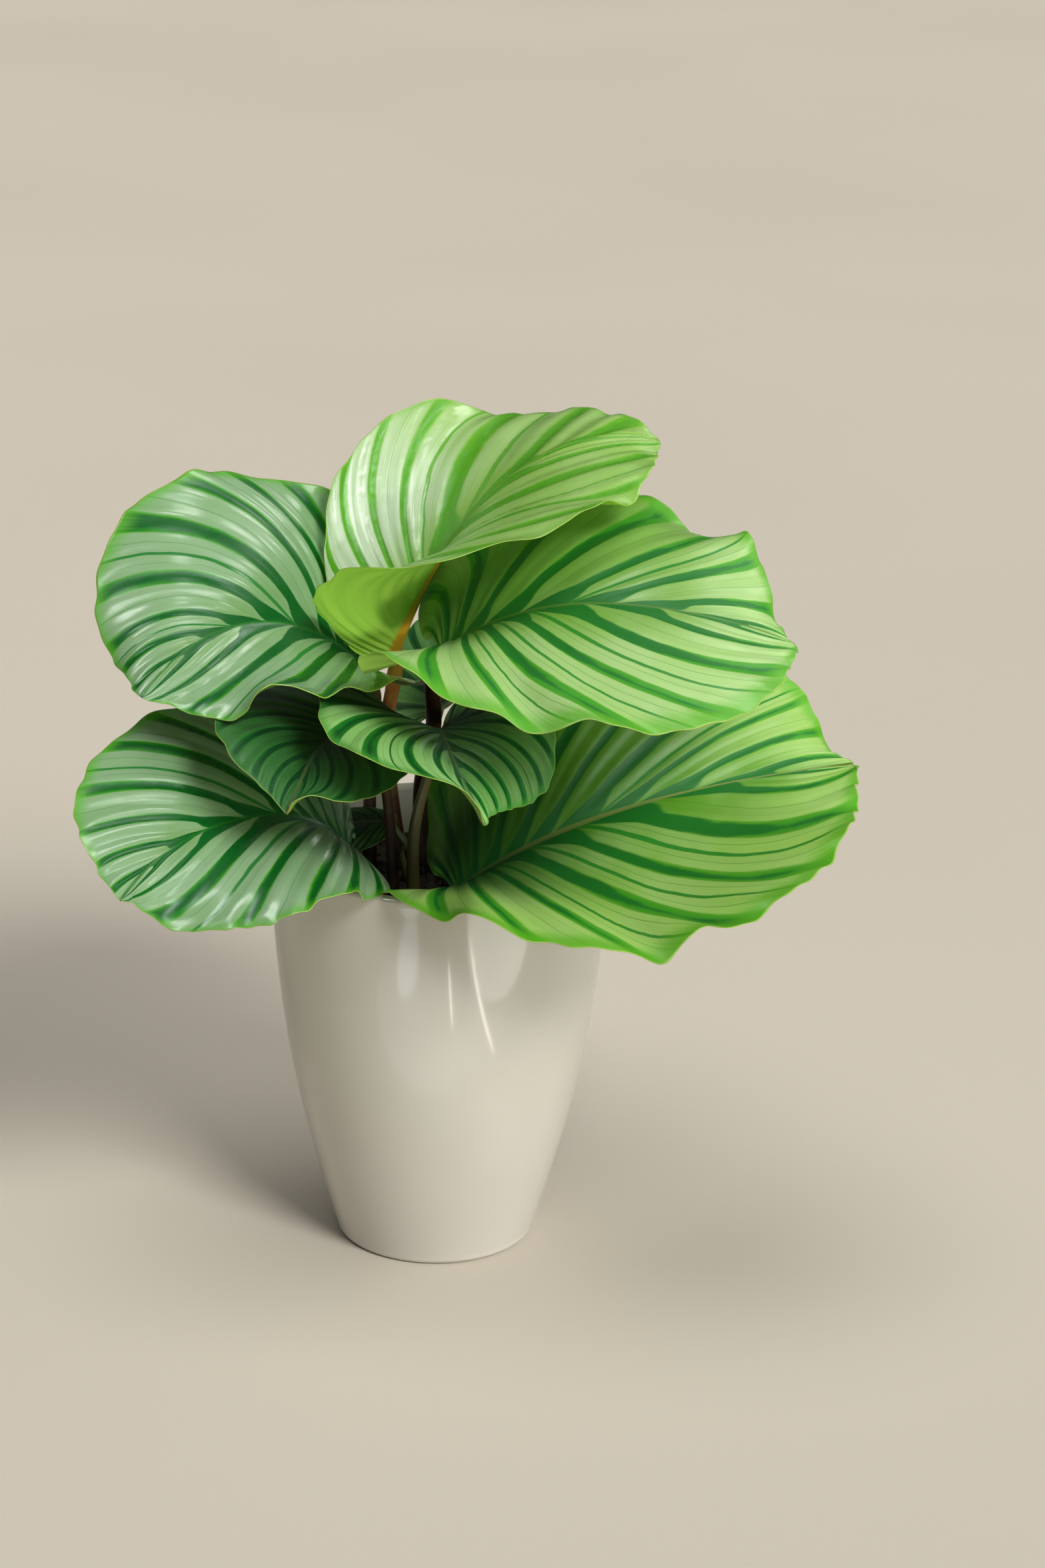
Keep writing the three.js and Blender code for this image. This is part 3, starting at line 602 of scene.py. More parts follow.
class Nodes:
    """Short calls for building one material's node tree."""

    def __init__(self, name):
        self.material = bpy.data.materials.new(name)
        self.material.use_nodes = True
        self.tree = self.material.node_tree
        self.tree.nodes.clear()

    def add(self, kind, **settings):
        node = self.tree.nodes.new(kind)
        for key, value in settings.items():
            setattr(node, key, value)
        return node

    def feed(self, node, given):
        """given: socket to another node's value, a number, or a list, which is a screen colour."""
        for key, value in given.items():
            socket = node.inputs[key]
            if isinstance(value, Value):
                self.tree.links.new(value.socket, socket)
            else:
                socket.default_value = linear(*value) if isinstance(value, list) else value

    def value(self, kind, given, output=0, **settings):
        """The output of a new node that is fed what is given."""
        node = self.add(kind, **settings)
        self.feed(node, given)
        return Value(self, node.outputs[output])

    def math(self, operation, *values):
        return self.value("ShaderNodeMath", dict(enumerate(values)), operation=operation)

    def wrapped(self, value):
        """How far a value lies from the nearest whole number."""
        return self.math("PINGPONG", value, 0.5)

    def smooth(self, value, low, high, start=0.0, end=1.0):
        """From start to end as value goes from low to high, with soft ends."""
        return self.value("ShaderNodeMapRange", {
            "Value": value, "From Min": low, "From Max": high, "To Min": start, "To Max": end},
            interpolation_type="SMOOTHSTEP")

    def mix(self, share, first, second):
        return self.value("ShaderNodeMix", {"Factor": share, 6: first, 7: second}, 2,
                          data_type="RGBA")

    def parts(self, vector):
        node = self.add("ShaderNodeSeparateXYZ")
        self.feed(node, {0: vector})
        return [Value(self, output) for output in node.outputs]

    def join(self, x, y, z):
        return self.value("ShaderNodeCombineXYZ", {0: x, 1: y, 2: z})

    def uv(self, name):
        return self.value("ShaderNodeUVMap", {}, uv_map=name)

    def place(self):
        """The point in the piece's own space, in metres."""
        return self.value("ShaderNodeTexCoord", {}, "Object")

    def noise(self, vector, scale, detail=2.0, roughness=0.5):
        return self.value("ShaderNodeTexNoise", {
            "Vector": vector, "Scale": scale, "Detail": detail, "Roughness": roughness}, "Fac")

    def random(self, value):
        return self.value("ShaderNodeTexWhiteNoise", {"W": value}, "Value", noise_dimensions="1D")

    def bump(self, height, distance, strength=1.0):
        return self.value("ShaderNodeBump", {
            "Height": height, "Distance": distance, "Strength": strength})

    def surface(self, through=None, through_share=0.0, **inputs):
        """The finished shader. through is the colour of light that shines through a thin leaf."""
        given = {key.replace("_", " "): value for key, value in inputs.items()}
        last = self.value("ShaderNodeBsdfPrincipled", given)
        if through is not None:
            lit = self.value("ShaderNodeBsdfTranslucent", {"Color": through})
            last = self.value("ShaderNodeMixShader", {0: through_share, 1: last, 2: lit})
        self.feed(self.add("ShaderNodeOutputMaterial"), {"Surface": last})
        return self.material


def leaf_pattern(nodes, look, seed):
    """Shares of dark stripe, stripe fringe, fine line and so on, from the blade's coordinates."""
    number, out, _ = nodes.parts(nodes.uv("stripes"))
    far, wide, _ = nodes.parts(nodes.uv("flat"))
    line, vein, _ = nodes.parts(nodes.uv("marks"))
    flat = nodes.join(far, wide, seed)
    waver = nodes.noise(flat, 7.0)
    streaks = nodes.noise(nodes.join(number * 16.0, out, seed), 2.5, 3.0)
    tint = nodes.noise(nodes.join(number, out * 4.0, seed), 1.7, 3.0)
    shifted = number + (waver * 0.07 - 0.035)
    away = nodes.wrapped(shifted + (streaks * 0.06 - 0.03))

    own = nodes.random(nodes.math("ROUND", shifted) + seed)
    half_width = own * look["width_spread"] + look["width"]
    near_rib = nodes.smooth(out, -0.03, look["flare_reach"], 1.0, 0.0)
    half_width = half_width + near_rib * (0.5 - half_width)
    soft = near_rib * look["blur"] + look["softness"]
    dark = nodes.smooth(away, half_width - soft, half_width + soft, 1.0, 0.0)
    fringe = (nodes.smooth(away, half_width - look["fringe"], half_width - 0.005)
              * nodes.smooth(out, 0.05, 0.35))
    heart_width = half_width * (
        nodes.smooth(out, 0.15, 0.8, 1.1, look["heart_out"]) + (tint * 1.2 - 0.6))
    heart = nodes.smooth(away, heart_width - 0.045, heart_width + 0.03, 1.0, 0.0)

    strong = nodes.smooth(line, 0.5, 0.9)
    line_width = strong * nodes.smooth(out, 0.0, 0.9, 0.05, 0.012) + 0.005
    fine = nodes.smooth(0.5 - nodes.wrapped(shifted), line_width, line_width + 0.012, 1.0, 0.0)
    quarter = nodes.math("ABSOLUTE", nodes.wrapped(shifted) - 0.31)
    hair = nodes.smooth(quarter, 0.003, 0.013, 1.0, 0.0)
    return SimpleNamespace(
        number=number, out=out, far=far, wide=wide, vein=vein, flat=flat, waver=waver,
        streaks=streaks, dark=dark, fringe=fringe, heart=heart,
        fine=fine * (strong * 0.5 + 0.4), hair=hair * (strong * 0.7 + 0.3))


def rib_share(nodes, p, base_width, tip_width):
    """1 on the midrib, 0 beside it. Widths in mm, the flat map's unit is 100 mm."""
    width = nodes.smooth(p.far, 0.0, 1.3, base_width / 100, tip_width / 100)
    return nodes.smooth(nodes.math("ABSOLUTE", p.wide), width * 0.55, width, 1.0, 0.0)


def leaf_grain(nodes, p):
    """Fine relief: streaks along the side veins, a little pebble and a soft quilting."""
    streaks = nodes.noise(nodes.join(p.number * 26.0, p.out, 0.0), 2.0, 3.0, 0.6)
    pebble = nodes.noise(p.flat, 60.0)
    quilt = nodes.noise(p.flat, 16.0, 1.0)
    return streaks, streaks * 0.5 + pebble * 0.3 + quilt * 1.6


def leaf_upper(name, look, seed):
    nodes = Nodes(name)
    p = leaf_pattern(nodes, look, seed)
    streaks, relief = leaf_grain(nodes, p)
    patches = nodes.noise(p.flat, 3.5, 3.0)

    pale = nodes.mix(nodes.smooth(p.out, 0.02, look["ripe_at"]), look["pale_inner"], look["pale"])
    pale = nodes.mix(nodes.smooth(patches, 0.35, 0.7, 0.0, 0.35), pale, look["silver"])
    # Partly the young leaf's whitish bands, partly painted sheen: whiter on the left half near the base,
    # along the streaks
    white = (nodes.smooth(p.wide, 0.03, 0.3, 0.0, look["whitish_band_and_sheen_share"])
             * nodes.smooth(p.streaks, 0.3, 0.6, 0.4, 1.0)
             * nodes.smooth(p.far, 0.45, 1.0, 1.0, 0.1))
    pale = nodes.mix(white, pale, look["white"])
    # Painted shade: the left half, most towards the base, turns to the inner colour where a leaf above
    # shades it
    left_shade_mask = (nodes.smooth(p.wide, 0.0, 0.12, 0.0, look["painted_left_shade"])
            * nodes.smooth(p.far, 0.8, 1.4, 1.0, 0.2))
    pale = nodes.mix(left_shade_mask, pale, look["pale_inner"])
    pale = nodes.mix(p.hair * look["hair"], pale, look["line"])
    core = nodes.mix(p.fringe * 0.8, look["core"], look["fringe_colour"])
    core = nodes.mix(p.heart * 0.85, core, look["dark"])
    colour = nodes.mix(p.fine, pale, look["line"])
    colour = nodes.mix(p.dark, colour, core)

    reach = p.out + (p.waver * 0.08 - 0.04) + (p.streaks * 0.08 - 0.04)
    margin = nodes.smooth(reach, look["margin_start"], look["margin_start"] + 0.11)
    colour = nodes.mix(margin * look["margin_share"], colour, look["margin"])
    colour = nodes.mix(nodes.smooth(p.out, 0.99, 1.0, 0.0, look["edge_share"]), colour, look["edge"])
    rib = rib_share(nodes, p, look["rib_width"], 0.5)
    colour = nodes.mix(rib * look["rib_share"], colour, look["rib"])
    # Painted shade: darker near the base and around the midrib, where the leaves above shade the blade
    base = (nodes.smooth(p.far, 0.08, look["base_shade_reach"], look["base_shade"], 0.0)
            * nodes.smooth(p.out, 0.35, 0.75, 1.0, 0.0))
    colour = nodes.mix(base, colour, look["deep"])
    # Painted shade on the basal lobe of the right half
    lobe = (nodes.smooth(p.vein, 0.34, 0.48, look["shaded_lobe"], 0.0)
            * nodes.smooth(p.wide, -0.14, -0.03, 1.0, 0.0))
    colour = nodes.mix(lobe, colour, look["deep"])
    colour = nodes.mix(nodes.smooth(streaks, 0.3, 0.7, 0.0, 0.07), colour, look["deep"])

    gloss = nodes.smooth(p.dark, 0.0, 1.0, look["gloss"], look["gloss"] + 0.12)
    return nodes.surface(
        through=nodes.mix(0.5, colour, look["through"]), through_share=look["through_share"],
        Base_Color=colour, Roughness=gloss + nodes.smooth(relief, 0.9, 1.5, -0.03, 0.05),
        Normal=nodes.bump(relief, 0.0002, look["bumpy"]), Specular_IOR_Level=look["specular"])


def leaf_under(name, look, seed):
    nodes = Nodes(name)
    p = leaf_pattern(nodes, look, seed)
    streaks, relief = leaf_grain(nodes, p)
    colour = nodes.mix(p.dark * look["under_share"], look["under"], look["under_dark"])
    colour = nodes.mix(p.hair * 0.2, colour, look["under_dark"])
    colour = nodes.mix(nodes.smooth(p.out, 0.99, 1.0, 0.0, look["edge_share"]), colour, look["edge"])
    colour = nodes.mix(rib_share(nodes, p, look["under_rib_width"], 1.2), colour,
                       look["under_rib"])
    colour = nodes.mix(nodes.smooth(streaks, 0.3, 0.7, 0.0, 0.15), colour, look["under_dark"])
    return nodes.surface(
        through=nodes.mix(0.5, colour, look["through"]), through_share=look["through_share"],
        Base_Color=colour, Roughness=nodes.smooth(relief, 0.9, 1.5, 0.4, 0.52),
        Normal=nodes.bump(relief, 0.0002, 0.5), Specular_IOR_Level=0.4)


# The looks of the four kinds of blade; the shade look is a darker copy, painted shade for the leaves deep
# in the plant. Colours are lists, as they look on a screen.
BASE_LOOK = dict(
    pale_inner=[138, 190, 58], pale=[172, 214, 112], silver=[186, 220, 146], core=[66, 162, 36],
    dark=[16, 112, 40], fringe_colour=[96, 172, 38], line=[26, 138, 40], deep=[8, 60, 26],
    edge_share=0.6, heart_out=0.3, white=[240, 248, 236], whitish_band_and_sheen_share=0.0, margin=[98, 184, 34],
    edge=[190, 208, 92], rib=[96, 140, 56], through=[150, 210, 30], under=[134, 170, 74],
    under_dark=[104, 148, 52], under_rib=[150, 150, 60], width=0.13, width_spread=0.06,
    flare_reach=0.2, softness=0.014, blur=0.03, fringe=0.05, hair=0.45, ripe_at=0.5,
    margin_start=0.86, margin_share=0.8, rib_width=1.3, rib_share=0.8, base_shade=0.0, gloss=0.32,
    bumpy=0.4, specular=0.5, through_share=0.18, under_share=0.5, under_rib_width=4.5, pleat=0.3,
    painted_left_shade=0.0, base_shade_reach=0.5, shaded_lobe=0.0)
LOOKS = {
    "leaf_young": dict(
        pale_inner=[160, 206, 84], pale=[168, 210, 110], silver=[190, 224, 146],
        core=[112, 190, 42], dark=[96, 178, 34], fringe_colour=[150, 204, 76],
        line=[110, 184, 56], deep=[60, 140, 20], margin=[122, 196, 42], rib=[140, 206, 64],
        # The underside colours: its own yellow-green, lightened as painted light shining through the thin
        # young leaf
        rib_share=0.5, under=[206, 252, 100], under_dark=[186, 242, 84],
        under_rib=[240, 176, 40], hair=0.2, gloss=0.16, bumpy=0.9, specular=1.0,
        through_share=0.32, under_rib_width=5.5, width=0.11, heart_out=0.5, whitish_band_and_sheen_share=0.95,
        margin_start=0.93, softness=0.035, pleat=0.5),
    "leaf_bright": {},
    "leaf_silver": dict(
        pale_inner=[120, 162, 98], pale=[136, 174, 126], silver=[164, 194, 162],
        core=[30, 124, 24], dark=[0, 88, 32], fringe_colour=[78, 162, 36], line=[14, 122, 40],
        margin=[90, 180, 30], rib=[36, 116, 34], rib_share=0.7, margin_start=0.91, width=0.125,
        flare_reach=0.16, blur=0.0, gloss=0.17, specular=0.55, hair=0.3, bumpy=0.3,
        heart_out=0.6),
    # Painted shade: the leaf's colours darkened for the leaves deep in the plant
    "leaf_shade": dict(
        pale_inner=[84, 140, 62], pale=[118, 182, 98], silver=[138, 192, 126],
        core=[26, 108, 34], dark=[2, 72, 32], fringe_colour=[46, 124, 46], line=[6, 84, 34],
        margin=[70, 152, 56], deep=[6, 34, 16], rib=[80, 104, 60], base_shade=0.55, gloss=0.34,
        margin_start=0.9, ripe_at=0.8),
}

# Each stem's colour at its foot, at its top and at its joint. The foot colours are darker than the stems'
# own, as painted shade low among the leaves.
STEM_LOOKS = {
    "top": ([74, 44, 20], [158, 94, 36], [176, 142, 46]),
    "upper_left": ([44, 30, 16], [84, 56, 28], [84, 92, 38]),
    "upper_right": ([34, 20, 12], [66, 38, 22], [84, 58, 30]),
    "lower_left": ([56, 48, 22], [92, 86, 40], [108, 116, 52]),
    "lower_right": ([66, 56, 26], [112, 104, 52], [122, 126, 62]),
    "middle_left": ([42, 28, 14], [80, 52, 26], [80, 84, 36]),
    "middle_right": ([60, 54, 24], [92, 90, 42], [84, 98, 42]),
    "centre": ([70, 64, 28], [98, 104, 48], [94, 108, 46]),
    "back": ([38, 26, 14], [72, 46, 24], [72, 78, 34]),
}


# Stems

def smooth_line(points, samples=60):
    """Points close together along the curve through the given ones, as the solid stems run."""
    points = [np.array(point, float) for point in points]
    points = [2 * points[0] - points[1], *points, 2 * points[-1] - points[-2]]
    line = []
    u = np.linspace(0, 1, samples, endpoint=False)[:, None]
    for k in range(1, len(points) - 2):
        before, start, end, after = points[k - 1:k + 3]
        a, b, c = (math.sqrt(np.linalg.norm(q - p)) for p, q in
                   ((before, start), (start, end), (end, after)))
        leave = ((start - before) / a - (end - before) / (a + b) + (end - start) / b) * b
        arrive = ((end - start) / b - (after - start) / (b + c) + (after - end) / c) * b
        line.append(start + leave * u + (3 * (end - start) - 2 * leave - arrive) * u ** 2
                    + (2 * (start - end) + leave + arrive) * u ** 3)
    line.append(points[-2][None])
    return np.concatenate(line)


def resampled(line, count):
    lengths = np.concatenate([[0], np.cumsum(np.linalg.norm(np.diff(line, axis=0), axis=1))])
    places = np.linspace(0, lengths[-1], count)
    return np.stack([np.interp(places, lengths, line[:, k]) for k in range(3)], -1), lengths[-1]


def tube(line, radius_at, sides):
    """Rings round a line, carried along it without twist. radius_at(share, turns) in mm."""
    count = len(line)
    tangents = np.gradient(line, axis=0)
    tangents /= np.linalg.norm(tangents, axis=1, keepdims=True)
    normal = np.array([1.0, 0, 0])
    turns = np.linspace(0, 2 * math.pi, sides, endpoint=False)
    vertices = []
    for i in range(count):
        normal = normal - tangents[i] * normal.dot(tangents[i])
        normal /= np.linalg.norm(normal)
        other = np.cross(tangents[i], normal)
        radius = radius_at(i / (count - 1), turns)[:, None]
        vertices.append(line[i] + radius * (np.cos(turns)[:, None] * normal
                                            + np.sin(turns)[:, None] * other))
    faces = []
    corners = []
    for i in range(count - 1):
        low, high = i / (count - 1), (i + 1) / (count - 1)
        for k in range(sides):
            a = i * sides + k
            b = i * sides + (k + 1) % sides
            here, there = k / sides, (k + 1) / sides
            faces.append([a, b, b + sides, a + sides])
            corners += [(low, here), (low, there), (high, there), (high, here)]
    faces.append(list(range(sides))[::-1])
    corners += [(0, 0)] * sides
    faces.append([(count - 1) * sides + k for k in range(sides)])
    corners += [(1, 0)] * sides
    return np.concatenate(vertices), faces, corners


def build_stem(leaf, material):
    spine = Spine(leaf)
    base = np.array(leaf["base"], float)
    ahead = spine.at(spine.ahead, np.array(0.0))
    up = spine.at(spine.up, np.array(0.0))
    x, y = leaf["foot"]
    drop = (SOLID_THICKNESS + RIB_DEPTH * leaf["length"]) / 2 + 2 * CLEARANCE
    blade_start = LAST_VEIN * leaf["length"] * FIRST_VEIN ** VEIN_CROWDING
    end = base - up * drop + ahead * (blade_start - 2 * CLEARANCE)
    arrive = ahead * (1 - JOINT_BEND) + np.array([0, 0, JOINT_BEND])
    arrive /= np.linalg.norm(arrive)
    reach = min(JOINT_REACH * JOINT_LENGTH, SHORT_REACH * (end[2] - SOIL_TOP))
    line = smooth_line([
        (x, y, SOIL_TOP - STEM_SINK + CLEARANCE), (x, y, SOIL_TOP - 2),
        (x, y, SOIL_TOP + SOIL_MOUND + 0.5), *leaf["past"], end - arrive * reach, end])
    solid_length = resampled(line, 2)[1]

    # The stem runs on under the midrib as a thin end
    run = min(STEM_RUN_ON, RUN_ON_SHARE * leaf["length"])
    share_there = np.array(run / leaf["length"])
    under = spine.at(spine.points, share_there) - spine.at(spine.up, share_there) * drop * 0.8
    line = np.concatenate([line, end + (under - end) * np.linspace(0.1, 1, 10)[:, None]])
    line, length = resampled(line, STEM_RINGS)
    foot_radius, top_radius = leaf["radius"]

    def radius_at(share, turns):
        left = solid_length - share * length
        if left >= 0:
            along_solid = min(1, share * length / solid_length)
            radius = top_radius + (foot_radius - top_radius) * (1 - along_solid) ** STEM_FLARE
            radius += JOINT_SWELL * math.sin(math.pi * min(1, left / JOINT_LENGTH)) ** 2
        else:
            radius = top_radius * (1 - 0.65 * min(1, -left / run))
        return radius * (1 + STEM_UNROUND * np.cos(3 * turns + 0.4))

    vertices, faces, corners = tube(line, radius_at, STEM_SIDES)
    return new_object(f"fine_stem_{leaf['name']}", vertices, faces, [material],
                      layers={"stem": corners})


def stem_material(name, low, high, joint, seed):
    """A smooth stem: its colour runs from foot to joint, darker at the foot partly as painted shade, with
    fine streaks along it.
    """
    nodes = Nodes(name)
    share, turn, _ = nodes.parts(nodes.uv("stem"))
    streaks = nodes.noise(nodes.join(share * 1.5, turn * 9.0, seed), 4.0, 4.0, 0.6)
    mottle = nodes.noise(nodes.place(), 160.0, 3.0)
    # Darker towards the foot: the stem's own colour, and painted shade low in the plant
    colour = nodes.mix(nodes.smooth(share, 0.1, 0.85), low, high)
    colour = nodes.mix(nodes.smooth(share, 0.84, 0.92), colour, joint)
    colour = nodes.mix(nodes.smooth(streaks, 0.35, 0.7, 0.0, 0.35), colour, low)
    colour = nodes.mix(nodes.smooth(mottle, 0.45, 0.75, 0.0, 0.3), colour, joint)
    return nodes.surface(Base_Color=colour, Roughness=nodes.smooth(mottle, 0.3, 0.7, 0.38, 0.5),
                         Normal=nodes.bump(streaks + mottle * 0.3, 0.0002),
                         Specular_IOR_Level=0.2)


# The pot

def pot_radius(height):
    share = height / POT_HEIGHT
    straight = FOOT_RADIUS + (RIM_RADIUS - FOOT_RADIUS) * share
    return straight + POT_BELLY * math.sin(math.pi * share ** BELLY_LOW)


def pot_profile():
    """Radius and height from the middle of the foot, over the rim, to the middle inside."""
    rim_round = POT_WALL / 2
    inset = pot_radius(FOOT_ROUND) - FOOT_ROUND
    profile = [(0.0, FOOT_RECESS), (inset - 7, FOOT_RECESS), (inset - 6, 0.9), (inset - 5, 0.0)]
    for turn in range(0, 91, 10):
        angle = math.radians(turn)
        profile.append((inset + FOOT_ROUND * math.sin(angle), FOOT_ROUND * (1 - math.cos(angle))))
    rim_low = POT_HEIGHT - rim_round
    for height in np.linspace(FOOT_ROUND + 2, rim_low - 2, 44):
        profile.append((pot_radius(height), height))
    for turn in range(0, 181, 12):
        angle = math.radians(turn)
        profile.append((RIM_RADIUS - rim_round + rim_round * math.cos(angle),
                        rim_low + rim_round * math.sin(angle)))
    for height in np.linspace(rim_low - 2, POT_FLOOR + 6, 20):
        profile.append((pot_radius(height) - POT_WALL, height))
    corner = pot_radius(POT_FLOOR) - POT_WALL
    profile += [(corner - 1.0, POT_FLOOR + 2), (corner - 4, POT_FLOOR), (0.0, POT_FLOOR)]
    return profile


def turned_object(name, profile, sides, material, lift=None):
    """A closed form turned about the upright axis. lift, if given, moves its points."""
    vertices = []
    rings = []
    for radius, height in profile:
        if radius == 0:
            rings.append([len(vertices)])
            vertices.append((0.0, 0.0, height))
            continue
        rings.append(list(range(len(vertices), len(vertices) + sides)))
        for k in range(sides):
            turn = 2 * math.pi * k / sides
            vertices.append((radius * math.cos(turn), radius * math.sin(turn), height))
    faces = []
    for lower, upper in zip(rings, rings[1:]):
        for k in range(sides):
            n = (k + 1) % sides
            loop = [lower[k % len(lower)], lower[n % len(lower)],
                    upper[n % len(upper)], upper[k % len(upper)]]
            faces.append([v for i, v in enumerate(loop) if v != loop[i - 1]])
    if lift is not None:
        vertices = lift(np.array(vertices))
    return new_object(name, vertices, faces, [material])


def glaze_material():
    """Thick off-white glaze: slightly uneven, so its highlights waver, with faint specks."""
    nodes = Nodes("glaze")
    place = nodes.place()
    broad = nodes.noise(place, 14.0)
    specks = nodes.noise(place, 420.0, 2.0, 0.7)
    height = nodes.parts(place)[2]
    colour = nodes.mix(nodes.smooth(broad, 0.35, 0.65), [202, 200, 189], [196, 194, 182])
    colour = nodes.mix(nodes.smooth(height, 0.0, 0.11, 0.5, 0.0), colour, [206, 200, 194])
    colour = nodes.mix(nodes.smooth(specks, 0.68, 0.8, 0.0, 0.25), colour, [150, 140, 122])
    uneven = nodes.noise(place, 22.0, 1.0)
    return nodes.surface(Base_Color=colour, Roughness=nodes.smooth(broad, 0.3, 0.7, 0.12, 0.18),
                         Normal=nodes.bump(uneven, 0.0009, 0.35), Coat_Weight=0.5,
                         Coat_Roughness=0.06, Specular_IOR_Level=0.5)


# The soil

def value_noise(points, cell, seed):
    """A smooth random height at points in the plane, made from a lattice."""
    grid = np.floor(points / cell).astype(int)
    part = points / cell - grid
    part = part * part * (3 - 2 * part)

    def lattice(x, y):
        mixed = np.sin(x * 127.1 + y * 311.7 + seed * 74.7) * 43758.5453
        return mixed - np.floor(mixed)

    x, y = grid[:, 0], grid[:, 1]
    low = lattice(x, y) * (1 - part[:, 0]) + lattice(x + 1, y) * part[:, 0]
    high = lattice(x, y + 1) * (1 - part[:, 0]) + lattice(x + 1, y + 1) * part[:, 0]
    return low * (1 - part[:, 1]) + high * part[:, 1] - 0.5


def soil_height(radius):
    """The soil's plain height at a distance from the axis, in mm."""
    return SOIL_TOP + SOIL_MOUND * math.cos(math.pi / 2 * min(1, radius / RIM_RADIUS))


def soil_profile():
    edge = pot_radius(SOIL_TOP) - POT_WALL - 3 * CLEARANCE
    bottom = pot_radius(POT_FLOOR) - POT_WALL - 2 - 2 * CLEARANCE
    profile = [(0.0, POT_FLOOR + CLEARANCE), (bottom - 3, POT_FLOOR + CLEARANCE)]
    for height in np.linspace(POT_FLOOR + 8, SOIL_TOP - 6, 14):
        profile.append((pot_radius(height) - POT_WALL - 3 * CLEARANCE, height))
    for share in np.linspace(1, 0, SOIL_RINGS):
        profile.append((share * edge, soil_height(share * edge)))
    return profile


def crumbled(vertices):
    """The soil's top gets clods and crumbs, and stays clear of the wall."""
    rough = sum(depth * value_noise(vertices[:, :2], cell, seed)
                for depth, cell, seed in ((1.8, 9.0, 1), (1.3, 4.0, 2), (0.9, 1.9, 3), (0.5, 0.9, 4)))
    vertices[:, 2] += np.where(vertices[:, 2] > SOIL_TOP - 3, rough, 0)
    return vertices


def build_crumbs(material):
    """Loose crumbs and bits of bark on the soil, in one mesh."""
    random = np.random.default_rng(11)
    round_one = bmesh.new()
    bmesh.ops.create_icosphere(round_one, subdivisions=2, radius=1.0)
    round_one.verts.index_update()
    ball = np.array([v.co for v in round_one.verts])
    ball_faces = [[v.index for v in face.verts] for face in round_one.faces]
    round_one.free()
    vertices = []
    faces = []
    edge = pot_radius(SOIL_TOP) - POT_WALL - 3
    for _ in range(CRUMBS):
        turn = random.uniform(0, 2 * math.pi)
        radius = edge * math.sqrt(random.uniform(0, 1))
        size = random.uniform(0.5, 1.0) ** 2 * CRUMB_SIZE
        shape = ball * random.uniform(0.75, 1.25, (len(ball), 1))
        shape = shape * size * random.uniform(0.55, 1.2, 3)
        shape = shape @ np.array(Matrix.Rotation(random.uniform(0, 6.28), 3, "Z"))
        middle = [radius * math.cos(turn), radius * math.sin(turn), soil_height(radius) + 0.2 * size]
        faces += [[len(vertices) + v for v in face] for face in ball_faces]
        vertices += (shape + middle).tolist()
    return new_object("soil_crumbs", vertices, faces, [material])


def soil_material():
    nodes = Nodes("soil")
    place = nodes.place()
    clods = nodes.noise(place, 240.0, 4.0, 0.65)
    fibres = nodes.noise(place, 900.0, 3.0, 0.6)
    colour = nodes.mix(nodes.smooth(clods, 0.35, 0.7), [26, 19, 13], [60, 44, 30])
    colour = nodes.mix(nodes.smooth(fibres, 0.62, 0.78, 0.0, 0.6), colour, [112, 88, 60])
    return nodes.surface(Base_Color=colour, Roughness=nodes.smooth(clods, 0.3, 0.7, 0.7, 0.95),
                         Normal=nodes.bump(clods + fibres * 0.4, 0.0012), Specular_IOR_Level=0.3)


# Putting the pieces in place

def stands_for(piece, node):
    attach(piece, "root")
    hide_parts(node)


for order, leaf in enumerate(LEAVES):
    look = {**BASE_LOOK, **LOOKS[leaf["slot"]], **leaf.get("look", {})}
    upper = leaf_upper(f"upper_{leaf['name']}", look, order * 3.7)
    under = leaf_under(f"under_{leaf['name']}", look, order * 3.7)
    stands_for(build_blade(leaf, look, [upper, under]), f"blade_{leaf['name']}")
    bark = stem_material(f"stem_{leaf['name']}", *STEM_LOOKS[leaf["name"]], order * 2.3)
    stands_for(build_stem(leaf, bark), f"petiole_{leaf['name']}")

pot = turned_object("fine_pot", pot_profile(), POT_SIDES, glaze_material())
stands_for(pot, "pot")
earth = soil_material()
soil = turned_object("fine_soil", soil_profile(), SOIL_SIDES, earth, crumbled)
stands_for(soil, "soil")
crumbs = build_crumbs(earth)
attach(crumbs, "root")


# Floor, light and camera

def floor_material():
    nodes = Nodes("floor")
    soft = nodes.noise(nodes.place(), 1.2)
    colour = nodes.mix(nodes.smooth(soft, 0.3, 0.7), [206, 198, 184], [202, 194, 180])
    return nodes.surface(Base_Color=colour, Roughness=0.85, Specular_IOR_Level=0.2)


FLOOR_REACH = 12000
floor = new_object("floor", [(-FLOOR_REACH, -FLOOR_REACH, 0), (FLOOR_REACH, -FLOOR_REACH, 0),
                             (FLOOR_REACH, FLOOR_REACH, 0), (-FLOOR_REACH, FLOOR_REACH, 0)],
                   [[0, 1, 2, 3]], [floor_material()])


def lamp(name, kind, power, colour, position, target, unseen, **settings):
    """A light at a position in mm, aimed at a target. unseen: the rays that it hides from."""
    data = bpy.data.lights.new(name, kind)
    data.energy = power
    data.color = colour
    for key, value in settings.items():
        setattr(data, key, value)
    turn = (Vector(target) - Vector(position)).to_track_quat("-Z", "Y")
    light = placed(name, data,
                   Matrix.Translation(Vector(position) * MM) @ turn.to_matrix().to_4x4())
    for rays in unseen:
        setattr(light, "visible_" + rays, False)


def panel(name, shape, radiance, colour, position, target, size, unseen):
    """A flat lamp of a size in mm, as bright as its radiance says."""
    width, height = size[0] * MM, size[1] * MM
    lamp(name, "AREA", radiance * math.pi * width * height, colour, position, target, unseen,
         shape=shape, size=width, size_y=height)


